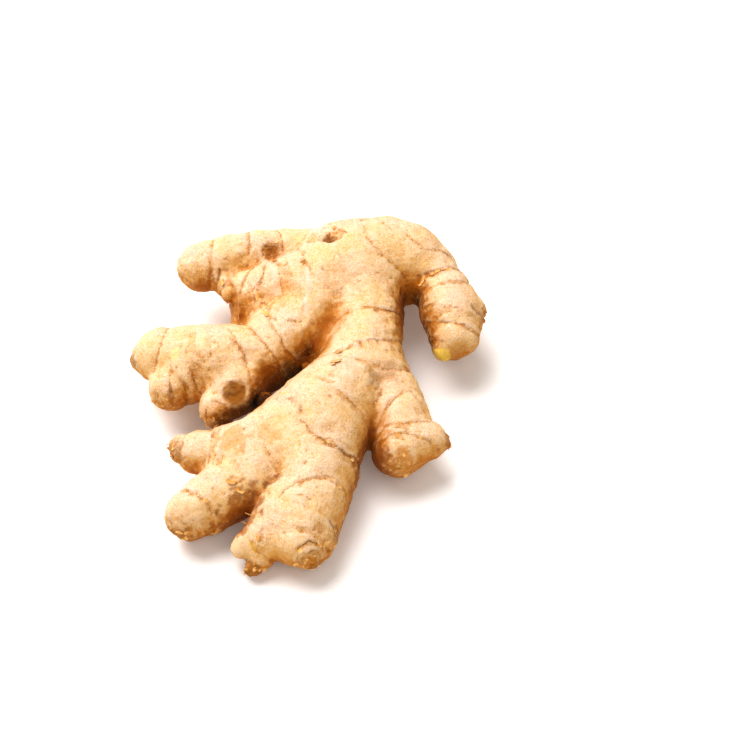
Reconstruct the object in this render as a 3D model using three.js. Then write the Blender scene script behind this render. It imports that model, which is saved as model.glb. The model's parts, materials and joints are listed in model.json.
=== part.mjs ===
// A hand of fresh ginger: one rhizome that grew as a single piece and lies on a table, +Z up, in millimetres.
// Every limb is a chain of spheres along a curved spine. The limbs melt into each other where they branch,
// and a net of small quads is stretched over the blended form.
import * as THREE from "three";

// A smaller cell makes a finer net, and more triangles.
const CELL = 3.15;
const MARGIN = 6;
const FILLED = 0.001;
const SAMPLE_STEP = 2.5;
const SETTLE_STEPS = 4;
const RELAX_ROUNDS = 4;
const RELAX_SHARE = 0.6;

// A growth ring pinches its limb: how deep, and how far along the limb the pinch reaches.
const RING_DEPTH = 1.1;
const RING_REACH = 3.2;

// Slow swells and hollows of the flesh: height and wavelength.
const LUMP_HEIGHT = 0.45;
const LUMP_LENGTH = 19;

// A limb's spine points are [x, y, z, radius]. Its web is the length over which it melts into what it grows
// from. A ring is [distance along the spine, lean x, lean y, lean z]: the lean tips the ring's plane.
// A cut is a broken end: a point in its plane, and the way the plane faces.
const LIMBS = [
  {
    name: "crown",
    web: 6,
    spine: [[-46, 20, 19, 10], [-27, 21, 21, 15], [-7, 31, 22, 18], [9, 35, 22, 15], [19, 32, 21, 11]],
    rings: [[12, 0.15, 0.1, -0.2], [25, 0.15, -0.2, 0.1], [58, 0.1, 0, 0.8]],
    cut: { at: [-51, 17, 18], facing: [-0.93, -0.3, 0.1] },
  },
  {
    name: "stem",
    web: 6,
    spine: [[-5, 23, 20, 15], [-3, 2, 19, 13], [-8, -19, 18, 14.9], [-19, -40, 18, 16.6]],
    rings: [[18.5, 0.2, 0, 0], [38.5, 0.8, 0.1, -0.1], [46.5, 0.5, 0, -0.1], [60.5, -0.15, 0, 0]],
  },
  {
    name: "shoulder",
    web: 5,
    spine: [[-14, -25, 18, 12.6], [-27, -38, 17.5, 12.6], [-42, -50, 16, 11.3]],
    rings: [],
  },
  {
    name: "toe_c",
    web: 4,
    spine: [[-18, -44, 16.8, 15.4], [-21, -65, 14, 13.6], [-24, -78, 12, 12.9], [-25, -85, 12, 9.7]],
    rings: [[-1, -0.6, 0.2, -0.5], [31.3, 0.35, -0.2, 0.5], [38, 0.2, 0, 0]],
  },
  {
    name: "toe_c_heel",
    web: 4,
    spine: [[-28, -74, 13, 12], [-34, -81, 11.5, 8.8], [-38, -87, 8, 4.8]],
    rings: [],
  },
  {
    name: "toe_c_bud",
    web: 4,
    spine: [[-37, -81, 11.5, 5.5], [-42, -84, 10, 4.6], [-44.5, -86, 9, 3.6]],
    rings: [],
  },
  {
    name: "toe_c_stub",
    web: 4,
    spine: [[-38, -88, 6, 4], [-41, -91, 4.5, 2.8]],
    rings: [],
  },
  {
    name: "toe_c_eye",
    web: 4,
    spine: [[-20, -84, 11, 7], [-22, -90, 11, 4.7]],
    rings: [],
  },
  {
    name: "toe_b",
    web: 4,
    spine: [[-29, -49, 16, 13], [-42, -60, 14, 11.6], [-54, -68, 12.5, 10.5], [-62, -74, 12, 9.1]],
    rings: [[8.6, -0.15, 0.1, 0.05], [22, 0, 0, 0.1], [36, 0.1, -0.15, 0]],
  },
  {
    name: "toe_a",
    web: 5,
    spine: [[-44, -51, 16, 11.6], [-58, -50, 16, 8.2], [-65, -49, 16.5, 5.6]],
    rings: [[10, -0.05, -0.25, 0.4], [19, 0, 0, 0]],
  },
  {
    name: "arm",
    web: 5,
    spine: [[-23, 13, 20.5, 12.6], [-39, -8, 19, 13], [-60, -11, 19, 13.7], [-75, -8, 19, 10.2]],
    rings: [
      [19.8, 0, 0.1, -0.1],
      [28.5, 0.1, -0.3, 0],
      [38.5, 0, -0.4, 0.15],
      [48.6, 0, -0.1, -0.1],
      [59, 0, 0, 0],
    ],
  },
  {
    name: "arm_a",
    web: 4,
    spine: [[-65, -16, 18, 9.8], [-71, -21, 17, 8]],
    rings: [[3, 0, 0, 0]],
  },
  {
    name: "arm_b",
    web: 4,
    spine: [[-47, -21, 18, 9.8], [-54, -28, 16, 7], [-56, -34, 15, 3.1]],
    rings: [],
  },
  {
    name: "arm_bud",
    web: 4,
    spine: [[-80, -9, 19, 5], [-83, -10, 19, 3.2]],
    rings: [],
  },
  {
    name: "thumb",
    web: 4,
    spine: [[-3, -11, 18, 12.7], [6, -28, 16, 11.1], [9, -40, 14, 11.4], [8, -47, 13, 9.6]],
    rings: [[14, 0.3, 0, 0], [27.7, 0.6, 0, 0.3], [39.7, 0.4, -0.5, 0.8], [43.7, 0.1, -0.3, 0.9]],
  },
  {
    name: "thumb_a",
    web: 4,
    spine: [[14, -44, 15, 8.3], [17, -44, 15, 7.2], [23, -44, 14, 3.1]],
    rings: [],
  },
  {
    name: "finger",
    web: 4,
    spine: [[4, 41, 22, 13], [16, 32, 21, 10.8], [24, 22, 21, 10], [27, 12, 20, 11.6], [29, 2, 19, 8.5]],
    rings: [[24.4, 0.1, -0.3, -0.2], [34, 0, 0, -0.2], [40.4, -0.15, 0.15, 0], [47.4, -0.4, -0.55, -0.2]],
  },
  {
    name: "finger_tip",
    web: 4,
    spine: [[27, 3, 18, 7.4], [24.5, -2.5, 17.5, 4.6], [23.8, -5, 17.3, 3]],
    rings: [],
  },
  {
    name: "finger_a",
    web: 4,
    spine: [[34, 13, 21, 5], [36, 12, 21, 3.6]],
    rings: [],
  },
  {
    name: "back",
    web: 4,
    spine: [[-23, 40, 22, 9], [-43, 37, 24, 9.4], [-60, 32, 23, 9.8], [-65, 32, 23, 6.5]],
    rings: [[12, 0, 0, 0], [23.5, 0, 0, 0.05], [36.5, -0.1, 0.2, 0.1]],
  },
  {
    name: "back_a",
    web: 4,
    spine: [[-53, 26, 22, 5.8], [-52, 20, 21.5, 3.9]],
    rings: [[3.5, 0, 0, 0]],
  },
  {
    name: "knob",
    web: 4,
    spine: [[-3, 40, 27, 8], [-12, 41, 29.5, 6.2], [-20, 37.5, 31, 4.2]],
    rings: [],
  },
  {
    name: "foot_left",
    web: 5,
    spine: [[-36, 4, 16, 11], [-44, 12, 7.4, 8.6]],
    rings: [],
  },
  {
    name: "foot_right",
    web: 5,
    spine: [[5, 38, 16, 12], [13, 45, 7.6, 8.6]],
    rings: [],
  },
  {
    name: "back_eye",
    web: 4,
    spine: [[-14, 44, 15, 8], [-19, 54, 14, 4.2]],
    rings: [],
  },
];

// Round hollows in the skin: where, how wide, how deep.
const HOLLOWS = [
  { at: [-48.3, -29.8, 23.8], radius: 5, depth: 1.3 },
  { at: [-15.5, 33.5, 37], radius: 5, depth: 4.5 },
  { at: [-37, 31, 31], radius: 5.5, depth: 1.6 },
];

// The spine as short straight steps, with the radius and the distance run so far at each.
function sampleLimb(limb) {
  const knots = limb.spine.map(([x, y, z]) => new THREE.Vector3(x, y, z));
  const radii = limb.spine.map(([, , , radius]) => radius);
  const curve = new THREE.CatmullRomCurve3(knots, false, "catmullrom", 0.5);
  const spans = knots.length - 1;
  const count = Math.max(3, Math.ceil(curve.getLength() / SAMPLE_STEP));
  const steps = [];
  let run = 0;
  for (let i = 0; i <= count; i++) {
    const point = curve.getPoint(i / count);
    const span = Math.min(Math.floor((i / count) * spans), spans - 1);
    const share = THREE.MathUtils.smoothstep((i / count) * spans - span, 0, 1);
    const radius = THREE.MathUtils.lerp(radii[span], radii[span + 1], share);
    if (i) run += point.distanceTo(steps[i - 1].point);
    steps.push({ point, radius, run });
  }
  return steps;
}

// Distance from the skin of one limb: negative inside.
function limbDistance(limb, p) {
  let best = Infinity;
  let run = 0;
  const off = new THREE.Vector3();
  const axis = new THREE.Vector3();
  const side = new THREE.Vector3();
  for (let i = 1; i < limb.steps.length; i++) {
    const a = limb.steps[i - 1];
    const b = limb.steps[i];
    axis.subVectors(b.point, a.point);
    side.subVectors(p, a.point);
    const t = THREE.MathUtils.clamp(side.dot(axis) / axis.lengthSq(), 0, 1);
    side.addScaledVector(axis, -t);
    const distance = side.length() - THREE.MathUtils.lerp(a.radius, b.radius, t);
    if (distance >= best) continue;
    best = distance;
    run = THREE.MathUtils.lerp(a.run, b.run, t);
    off.copy(side);
  }
  if (best > MARGIN) return best;
  for (const [at, x, y, z] of limb.rings) {
    const gap = Math.abs(run + off.x * x + off.y * y + off.z * z - at);
    best += RING_DEPTH * Math.exp(-gap / RING_REACH);
  }
  if (!limb.cut) return best;
  const [cx, cy, cz] = limb.cut.at;
  const [nx, ny, nz] = limb.cut.facing;
  return Math.max(best, (p.x - cx) * nx + (p.y - cy) * ny + (p.z - cz) * nz);
}

// Two distances joined so that the surfaces melt together over the width of the web.
function melt(a, b, web) {
  const overlap = Math.max(web - Math.abs(a - b), 0) / web;
  return Math.min(a, b) - (overlap * overlap * web) / 4;
}

function lumps(p) {
  const k = (2 * Math.PI) / LUMP_LENGTH;
  const wide = Math.sin(k * (p.x + 0.6 * p.z)) * Math.sin(k * (p.y - 0.4 * p.x));
  const narrow = Math.sin(1.7 * k * (p.z + 0.5 * p.y)) * Math.sin(1.9 * k * (p.x - 0.3 * p.z));
  return LUMP_HEIGHT * (wide + 0.8 * narrow);
}

function hollows(p) {
  let depth = 0;
  for (const hollow of HOLLOWS) {
    const [x, y, z] = hollow.at;
    const share = Math.hypot(p.x - x, p.y - y, p.z - z) / hollow.radius;
    if (share < 1) depth += hollow.depth * (1 - share * share) ** 2;
  }
  return depth;
}

const limbs = LIMBS.map((limb) => ({ ...limb, steps: sampleLimb(limb) }));

function skinDistance(p) {
  let distance = limbDistance(limbs[0], p);
  for (const limb of limbs.slice(1)) distance = melt(distance, limbDistance(limb, p), limb.web);
  return distance + lumps(p) + hollows(p);
}

function spineBox() {
  const box = new THREE.Box3();
  for (const { steps } of limbs)
    for (const { point, radius } of steps) {
      const ball = new THREE.Sphere(point, radius);
      box.union(ball.getBoundingBox(new THREE.Box3()));
    }
  return box.expandByScalar(MARGIN);
}

// A cell's corner n stands at (n & 1, n >> 1 & 1, n >> 2), and a face is listed round its edge.
const CORNERS = [0, 1, 2, 3, 4, 5, 6, 7];
const FACES = [[0, 1, 3, 2], [4, 5, 7, 6], [0, 1, 5, 4], [2, 3, 7, 6], [0, 2, 6, 4], [1, 3, 7, 5]];

// True where the skin would pass twice through one face or one cell.
function passesTwice(inside) {
  const same = (a, b) => inside[a] === inside[b];
  const crossed = ([a, b, c, d]) => same(a, c) && same(b, d) && !same(a, b);
  const opposite = (flesh) => {
    const [first, last, more] = CORNERS.filter((n) => inside[n] === flesh);
    return more === undefined && first + last === 7;
  };
  return FACES.some(crossed) || opposite(true) || opposite(false);
}

// Such a cell's nearest free corner is counted as flesh, so that the net stays one plain sheet.
function fillPinches(values, [nx, ny, nz], index) {
  for (let filled = true; filled; ) {
    filled = false;
    for (let k = 0; k < nz - 1; k++)
      for (let j = 0; j < ny - 1; j++)
        for (let i = 0; i < nx - 1; i++) {
          const corners = CORNERS.map((n) => index(i + (n & 1), j + ((n >> 1) & 1), k + (n >> 2)));
          while (passesTwice(corners.map((corner) => values[corner] < 0))) {
            const free = corners.filter((corner) => values[corner] >= 0);
            const nearest = free.reduce((a, b) => (values[a] < values[b] ? a : b));
            values[nearest] = -FILLED;
            filled = true;
          }
        }
  }
}

// A net over the skin: one vertex in each cell that the skin passes through, and one quad round each
// grid edge that it crosses.
function netOver(field, box, cell) {
  const size = box.getSize(new THREE.Vector3());
  const [nx, ny, nz] = size.toArray().map((length) => Math.ceil(length / cell) + 1);
  const index = (i, j, k) => i + nx * (j + ny * k);
  const corner = (i, j, k) => new THREE.Vector3(i, j, k).multiplyScalar(cell).add(box.min);
  const values = new Float64Array(nx * ny * nz);
  for (let k = 0; k < nz; k++)
    for (let j = 0; j < ny; j++)
      for (let i = 0; i < nx; i++) values[index(i, j, k)] = field(corner(i, j, k));

  fillPinches(values, [nx, ny, nz], index);
  const crosses = (a, b) => values[a] < 0 !== values[b] < 0;
  const moved = (from, axis, u, v) => {
    const to = [...from];
    to[(axis + 1) % 3] += u;
    to[(axis + 2) % 3] += v;
    return to;
  };
  const next = (from, axis) => from.map((value, n) => (n === axis ? value + 1 : value));

  const vertices = [];
  const vertexOf = new Map();
  for (let k = 0; k < nz - 1; k++)
    for (let j = 0; j < ny - 1; j++)
      for (let i = 0; i < nx - 1; i++) {
        const sum = new THREE.Vector3();
        let count = 0;
        for (const axis of [0, 1, 2])
          for (const u of [0, 1])
            for (const v of [0, 1]) {
              const from = moved([i, j, k], axis, u, v);
              const a = index(...from);
              const b = index(...next(from, axis));
              if (!crosses(a, b)) continue;
              const share = values[a] / (values[a] - values[b]);
              sum.add(corner(...from).lerp(corner(...next(from, axis)), share));
              count++;
            }
        if (!count) continue;
        vertexOf.set(index(i, j, k), vertices.length);
        vertices.push(sum.divideScalar(count));
      }

  const quads = [];
  for (let k = 1; k < nz - 1; k++)
    for (let j = 1; j < ny - 1; j++)
      for (let i = 1; i < nx - 1; i++)
        for (const axis of [0, 1, 2]) {
          const from = [i, j, k];
          const a = index(...from);
          if (!crosses(a, index(...next(from, axis)))) continue;
          const turns = [[0, 0], [-1, 0], [-1, -1], [0, -1]];
          const quad = turns.map(([u, v]) => vertexOf.get(index(...moved(from, axis, u, v))));
          quads.push(values[a] < 0 ? quad : quad.reverse());
        }
  return { vertices, quads };
}

// Each vertex moves along the slope of the field until it lies on the skin.
function settle(vertices, field) {
  const h = 0.05;
  const at = (v, x, y, z) => field(new THREE.Vector3(v.x + x, v.y + y, v.z + z));
  for (const v of vertices)
    for (let n = 0; n < SETTLE_STEPS; n++) {
      const slope = new THREE.Vector3(
        at(v, h, 0, 0) - at(v, -h, 0, 0),
        at(v, 0, h, 0) - at(v, 0, -h, 0),
        at(v, 0, 0, h) - at(v, 0, 0, -h),
      ).divideScalar(2 * h);
      const move = THREE.MathUtils.clamp(field(v) / Math.max(slope.lengthSq(), 0.25), -1, 1);
      v.addScaledVector(slope, -move);
    }
}

// The net is evened out, so that its quads are of much the same size: each vertex goes to the middle of the
// vertices that it is tied to, and back to the skin.
function relax({ vertices, quads }, field) {
  const ties = vertices.map(() => new Set());
  for (const quad of quads)
    quad.forEach((vertex, n) => {
      ties[vertex].add(quad[(n + 1) % 4]);
      ties[vertex].add(quad[(n + 3) % 4]);
    });
  for (let round = 0; round < RELAX_ROUNDS; round++) {
    const middles = ties.map((tied) => {
      const sum = new THREE.Vector3();
      for (const other of tied) sum.add(vertices[other]);
      return sum.divideScalar(tied.size);
    });
    vertices.forEach((vertex, n) => vertex.lerp(middles[n], RELAX_SHARE));
    settle(vertices, field);
  }
}

// What would reach below the table is pressed flat, which leaves the spots that the root rests on.
function restOnTable(vertices) {
  for (const v of vertices) v.z = Math.max(v.z, 0);
}

// Each quad is split along its shorter diagonal, unless another quad already has that one.
function solidFrom({ vertices, quads }) {
  const key = (a, b) => `${Math.min(a, b)} ${Math.max(a, b)}`;
  const taken = new Set();
  const triangles = quads.flatMap(([a, b, c, d]) => {
    const shorter = vertices[a].distanceTo(vertices[c]) <= vertices[b].distanceTo(vertices[d]);
    const first = shorter ? !taken.has(key(a, c)) : taken.has(key(b, d));
    taken.add(first ? key(a, c) : key(b, d));
    return first ? [a, b, c, a, c, d] : [a, b, d, b, c, d];
  });
  const geometry = new THREE.BufferGeometry().setFromPoints(vertices);
  geometry.setIndex(triangles);
  geometry.computeVertexNormals();
  return geometry;
}

const net = netOver(skinDistance, spineBox(), CELL);
settle(net.vertices, skinDistance);
relax(net, skinDistance);
restOnTable(net.vertices);

const skin = new THREE.MeshStandardMaterial({ color: 0xd9b384, roughness: 0.75, metalness: 0 });
const rhizome = new THREE.Mesh(solidFrom(net), skin);
rhizome.name = "rhizome";

// The origin is on the table, under the middle of the root's box.
const middle = new THREE.Box3().setFromPoints(net.vertices).getCenter(new THREE.Vector3());
rhizome.position.set(-middle.x, -middle.y, 0);

const ginger = new THREE.Group();
ginger.add(rhizome);
export default ginger;
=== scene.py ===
# %% [markdown]
# # A hand of fresh ginger
# Fresh ginger is a rhizome: an underground stem that branches into knobbly limbs. Its skin is a thin, dry
# sheet over yellow flesh, with a ring at each place where a scale leaf once grew, buds at the tips, small
# root scars, and brown dirt in every fold. The solid of the part has the limbs and the broad rings. This
# script keeps that form and gives it the skin: fine relief in the mesh first, then a finish made of nodes.
#
# ## The fixed frame
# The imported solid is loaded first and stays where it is. Everything that is made here is in metres, in the
# same frame, so it lands on the solid with no fitting.

# %% Load the fixed frame
import itertools
import json
import math

import bpy
import numpy as np
from mathutils import Matrix, Vector
from mathutils.bvhtree import BVHTree
from mathutils.kdtree import KDTree

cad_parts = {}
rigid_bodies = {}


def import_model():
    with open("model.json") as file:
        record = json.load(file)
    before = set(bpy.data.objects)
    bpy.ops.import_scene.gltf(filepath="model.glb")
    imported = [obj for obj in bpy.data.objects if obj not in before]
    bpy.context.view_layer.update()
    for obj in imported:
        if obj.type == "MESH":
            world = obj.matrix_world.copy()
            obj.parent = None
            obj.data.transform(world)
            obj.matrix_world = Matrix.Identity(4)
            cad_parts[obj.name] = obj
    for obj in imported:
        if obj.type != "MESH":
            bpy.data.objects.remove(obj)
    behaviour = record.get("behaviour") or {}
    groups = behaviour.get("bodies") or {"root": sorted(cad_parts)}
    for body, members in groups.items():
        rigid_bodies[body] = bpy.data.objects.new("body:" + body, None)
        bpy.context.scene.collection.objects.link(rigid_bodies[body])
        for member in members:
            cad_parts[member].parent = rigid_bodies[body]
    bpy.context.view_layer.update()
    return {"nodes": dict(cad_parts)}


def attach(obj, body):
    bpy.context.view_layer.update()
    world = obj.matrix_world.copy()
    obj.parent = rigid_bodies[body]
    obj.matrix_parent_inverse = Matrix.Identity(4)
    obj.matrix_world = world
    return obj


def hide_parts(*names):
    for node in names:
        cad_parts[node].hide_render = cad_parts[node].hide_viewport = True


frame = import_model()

MM = 1000  # millimetres in a metre
solid = frame["nodes"]["rhizome"]

# %% [markdown]
# ## Camera
# The photograph looks down on the root at about 48 degrees from a fair distance, so near and far limbs
# keep much the same scale. A long lens 0.9 m away gives that flat, calm perspective.

# %% Camera
VIEW_ELEVATION = math.radians(48)
VIEW_DISTANCE = 0.9
VIEW_TARGET = Vector((0.0238182, 0.0188183, 0))
LENS = 120
SENSOR_WIDTH = 36
back_off = Vector((0, -math.cos(VIEW_ELEVATION), math.sin(VIEW_ELEVATION)))
bpy.ops.object.camera_add(
    location=VIEW_TARGET + VIEW_DISTANCE * back_off,
    rotation=(math.pi / 2 - VIEW_ELEVATION, 0, 0),
)
camera = bpy.context.object
camera.name = "camera"
camera.data.lens = LENS
camera.data.sensor_width = SENSOR_WIDTH
bpy.context.scene.camera = camera
print("camera at", [round(value, 3) for value in camera.location])

# %% [markdown]
# ## Nodes from expressions
# A finish is mostly small sums on masks and noises. One class wraps a socket, so that a Python expression
# on it adds the Math nodes, and one method adds any other node with its settings and its sockets. Colour
# goes on in coats, as with paint: each coat is a Mix node that says how much of it shows, and where.

# %% A wrapped socket
class Wire:
    """A socket that takes part in expressions: each operator adds one Math node."""

    def __init__(self, finish, socket):
        self.finish = finish
        self.socket = socket

    def math(self, operation, first, second, clamp=False):
        return self.finish.add("Math", {0: first, 1: second}, operation=operation, use_clamp=clamp)

    def __add__(self, other):
        return self.math("ADD", self, other)

    def __mul__(self, other):
        return self.math("MULTIPLY", self, other)

    def __sub__(self, other):
        return self.math("SUBTRACT", self, other)

    def __rsub__(self, other):
        return self.math("SUBTRACT", other, self)

    __radd__ = __add__
    __rmul__ = __mul__

    def clamped(self):
        return self.math("ADD", self, 0, clamp=True)

    def rise(self, low, high, top=1.0):
        """0 below low and top above high, with a soft step between them."""
        sockets = {"Value": self, "From Min": low, "From Max": high, "To Min": 0, "To Max": top}
        return self.finish.add("MapRange", sockets, interpolation_type="SMOOTHSTEP")

# %% A finish that holds the node tree
class Finish:
    """A material with its node tree, built round one Principled shader."""

    def __init__(self, name, colour=None, **uniform):
        self.material = bpy.data.materials.new(name)
        self.material.use_nodes = True
        self.tree = self.material.node_tree
        self.shader = self.tree.nodes["Principled BSDF"]
        self.colour = colour
        for socket, value in uniform.items():
            self.shader.inputs[socket.replace("_", " ")].default_value = value

    def add(self, kind, sockets=None, output=0, **settings):
        """Adds a node of a kind, sets it up, fills its sockets, and gives one output as a wire."""
        node = self.tree.nodes.new("ShaderNode" + kind)
        for setting, value in settings.items():
            setattr(node, setting, value)
        for socket, value in (sockets or {}).items():
            self.join(node.inputs[socket], value)
        return Wire(self, node.outputs[output])

    def join(self, socket, value):
        if isinstance(value, Wire):
            self.tree.links.new(value.socket, socket)
        else:
            socket.default_value = value

    def into(self, name, wire):
        self.join(self.shader.inputs[name], wire)

    def coat(self, share, colour, how="MIX"):
        """Lays a colour over the coats so far, as much as the share says."""
        sockets = {0: share, 6: self.colour, 7: colour}
        self.colour = self.add("Mix", sockets, output=2, data_type="RGBA", blend_type=how)

    def place(self):
        """Object coordinates in millimetres."""
        metres = self.add("TexCoord", output="Object")
        return self.add("VectorMath", {0: metres, 1: (MM, MM, MM)}, operation="MULTIPLY")

    def grains(self, place, length, detail=2.0, rough=0.5, kind="Fac"):
        """Soft noise whose swells are about as long as the length, in millimetres."""
        sockets = {"Vector": place, "Scale": 1 / length, "Detail": detail, "Roughness": rough}
        return self.add("TexNoise", sockets, output=kind)

    def cells(self, place, length, output=0, **settings):
        """Cells about as wide as the length, in millimetres."""
        sockets = {"Vector": place, "Scale": 1 / length, "Randomness": 1}
        return self.add("TexVoronoi", sockets, output=output, **settings)

    def attribute(self, name, output="Fac"):
        return self.add("Attribute", output=output, attribute_name=name)


def paint(red, green, blue):
    """A colour as it is seen, 0 to 255, in the linear values that a shader takes."""
    seen = [value / 255 for value in (red, green, blue)]
    return tuple(v / 12.92 if v <= 0.04045 else ((v + 0.055) / 1.055) ** 2.4 for v in seen) + (1.0,)


print("one class for sockets, one for finishes")

# %% [markdown]
# ## Floor and light
# The root lies on a white table under a broad soft light from behind on the left, with so much fill that
# the table is pure white and only a thin shadow shows at the lower right. One large lamp, one weak lamp
# at the front and a bright even sky give that. The table glows a little, as a lit white sheet does.

# %% Floor
FLOOR_SIZE = 12
FLOOR_GLOW = 0.13
bpy.ops.object.select_all(action="DESELECT")
bpy.ops.mesh.primitive_plane_add(size=FLOOR_SIZE)
floor = bpy.context.object
floor.name = "floor"
white = Finish(
    "white_table",
    Base_Color=(0.93, 0.93, 0.94, 1),
    Roughness=0.7,
    Specular_IOR_Level=0.2,
    Emission_Color=(1, 1, 1, 1),
    Emission_Strength=FLOOR_GLOW,
)
floor.data.materials.append(white.material)
print("floor of", FLOOR_SIZE, "m")

# %% Lights
# A lamp is (place, size, watts, colour).
LAMPS = {
    "window": ((-0.47, 0.44, 1.2), 1.2, 26, (0.98, 0.99, 1)),
    "front_card": ((0.35, -1.0, 1.2), 0.9, 4.5, (1, 0.98, 0.95)),
}
LIT_POINT = Vector((0, 0, 0.02))
SKY_COLOUR = (1, 0.96, 0.90, 1)
SKY_STRENGTH = 0.54
for name, (place, size, watts, colour) in LAMPS.items():
    bpy.ops.object.light_add(type="AREA", location=place)
    lamp = bpy.context.object
    lamp.name = name
    lamp.data.size = size
    lamp.data.energy = watts
    lamp.data.color = colour
    lamp.rotation_euler = (LIT_POINT - Vector(place)).to_track_quat("-Z", "Y").to_euler()
sky = bpy.data.worlds.new("even_sky")
bpy.context.scene.world = sky
sky.use_nodes = True
sky.node_tree.nodes["Background"].inputs["Color"].default_value = SKY_COLOUR
sky.node_tree.nodes["Background"].inputs["Strength"].default_value = SKY_STRENGTH
view = bpy.context.scene.view_settings
view.view_transform = "Standard"
view.gamma = 0.72
view.exposure = -0.05
print(len(LAMPS), "lamps and a sky")

# %% [markdown]
# ## How the limbs run
# The skin has to follow the limbs: rings go round them, fibres run along them, and buds sit at their tips.
# The solid is made of balls along curved spines, so the same spines are laid out here, in the millimetres
# of the table that the solid was drawn from. A ball is (x, y, z, radius). A web is how wide the fillet is
# where a limb joins the others. A ring is (how far along the spine, lean x, y, z, how marked).

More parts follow.
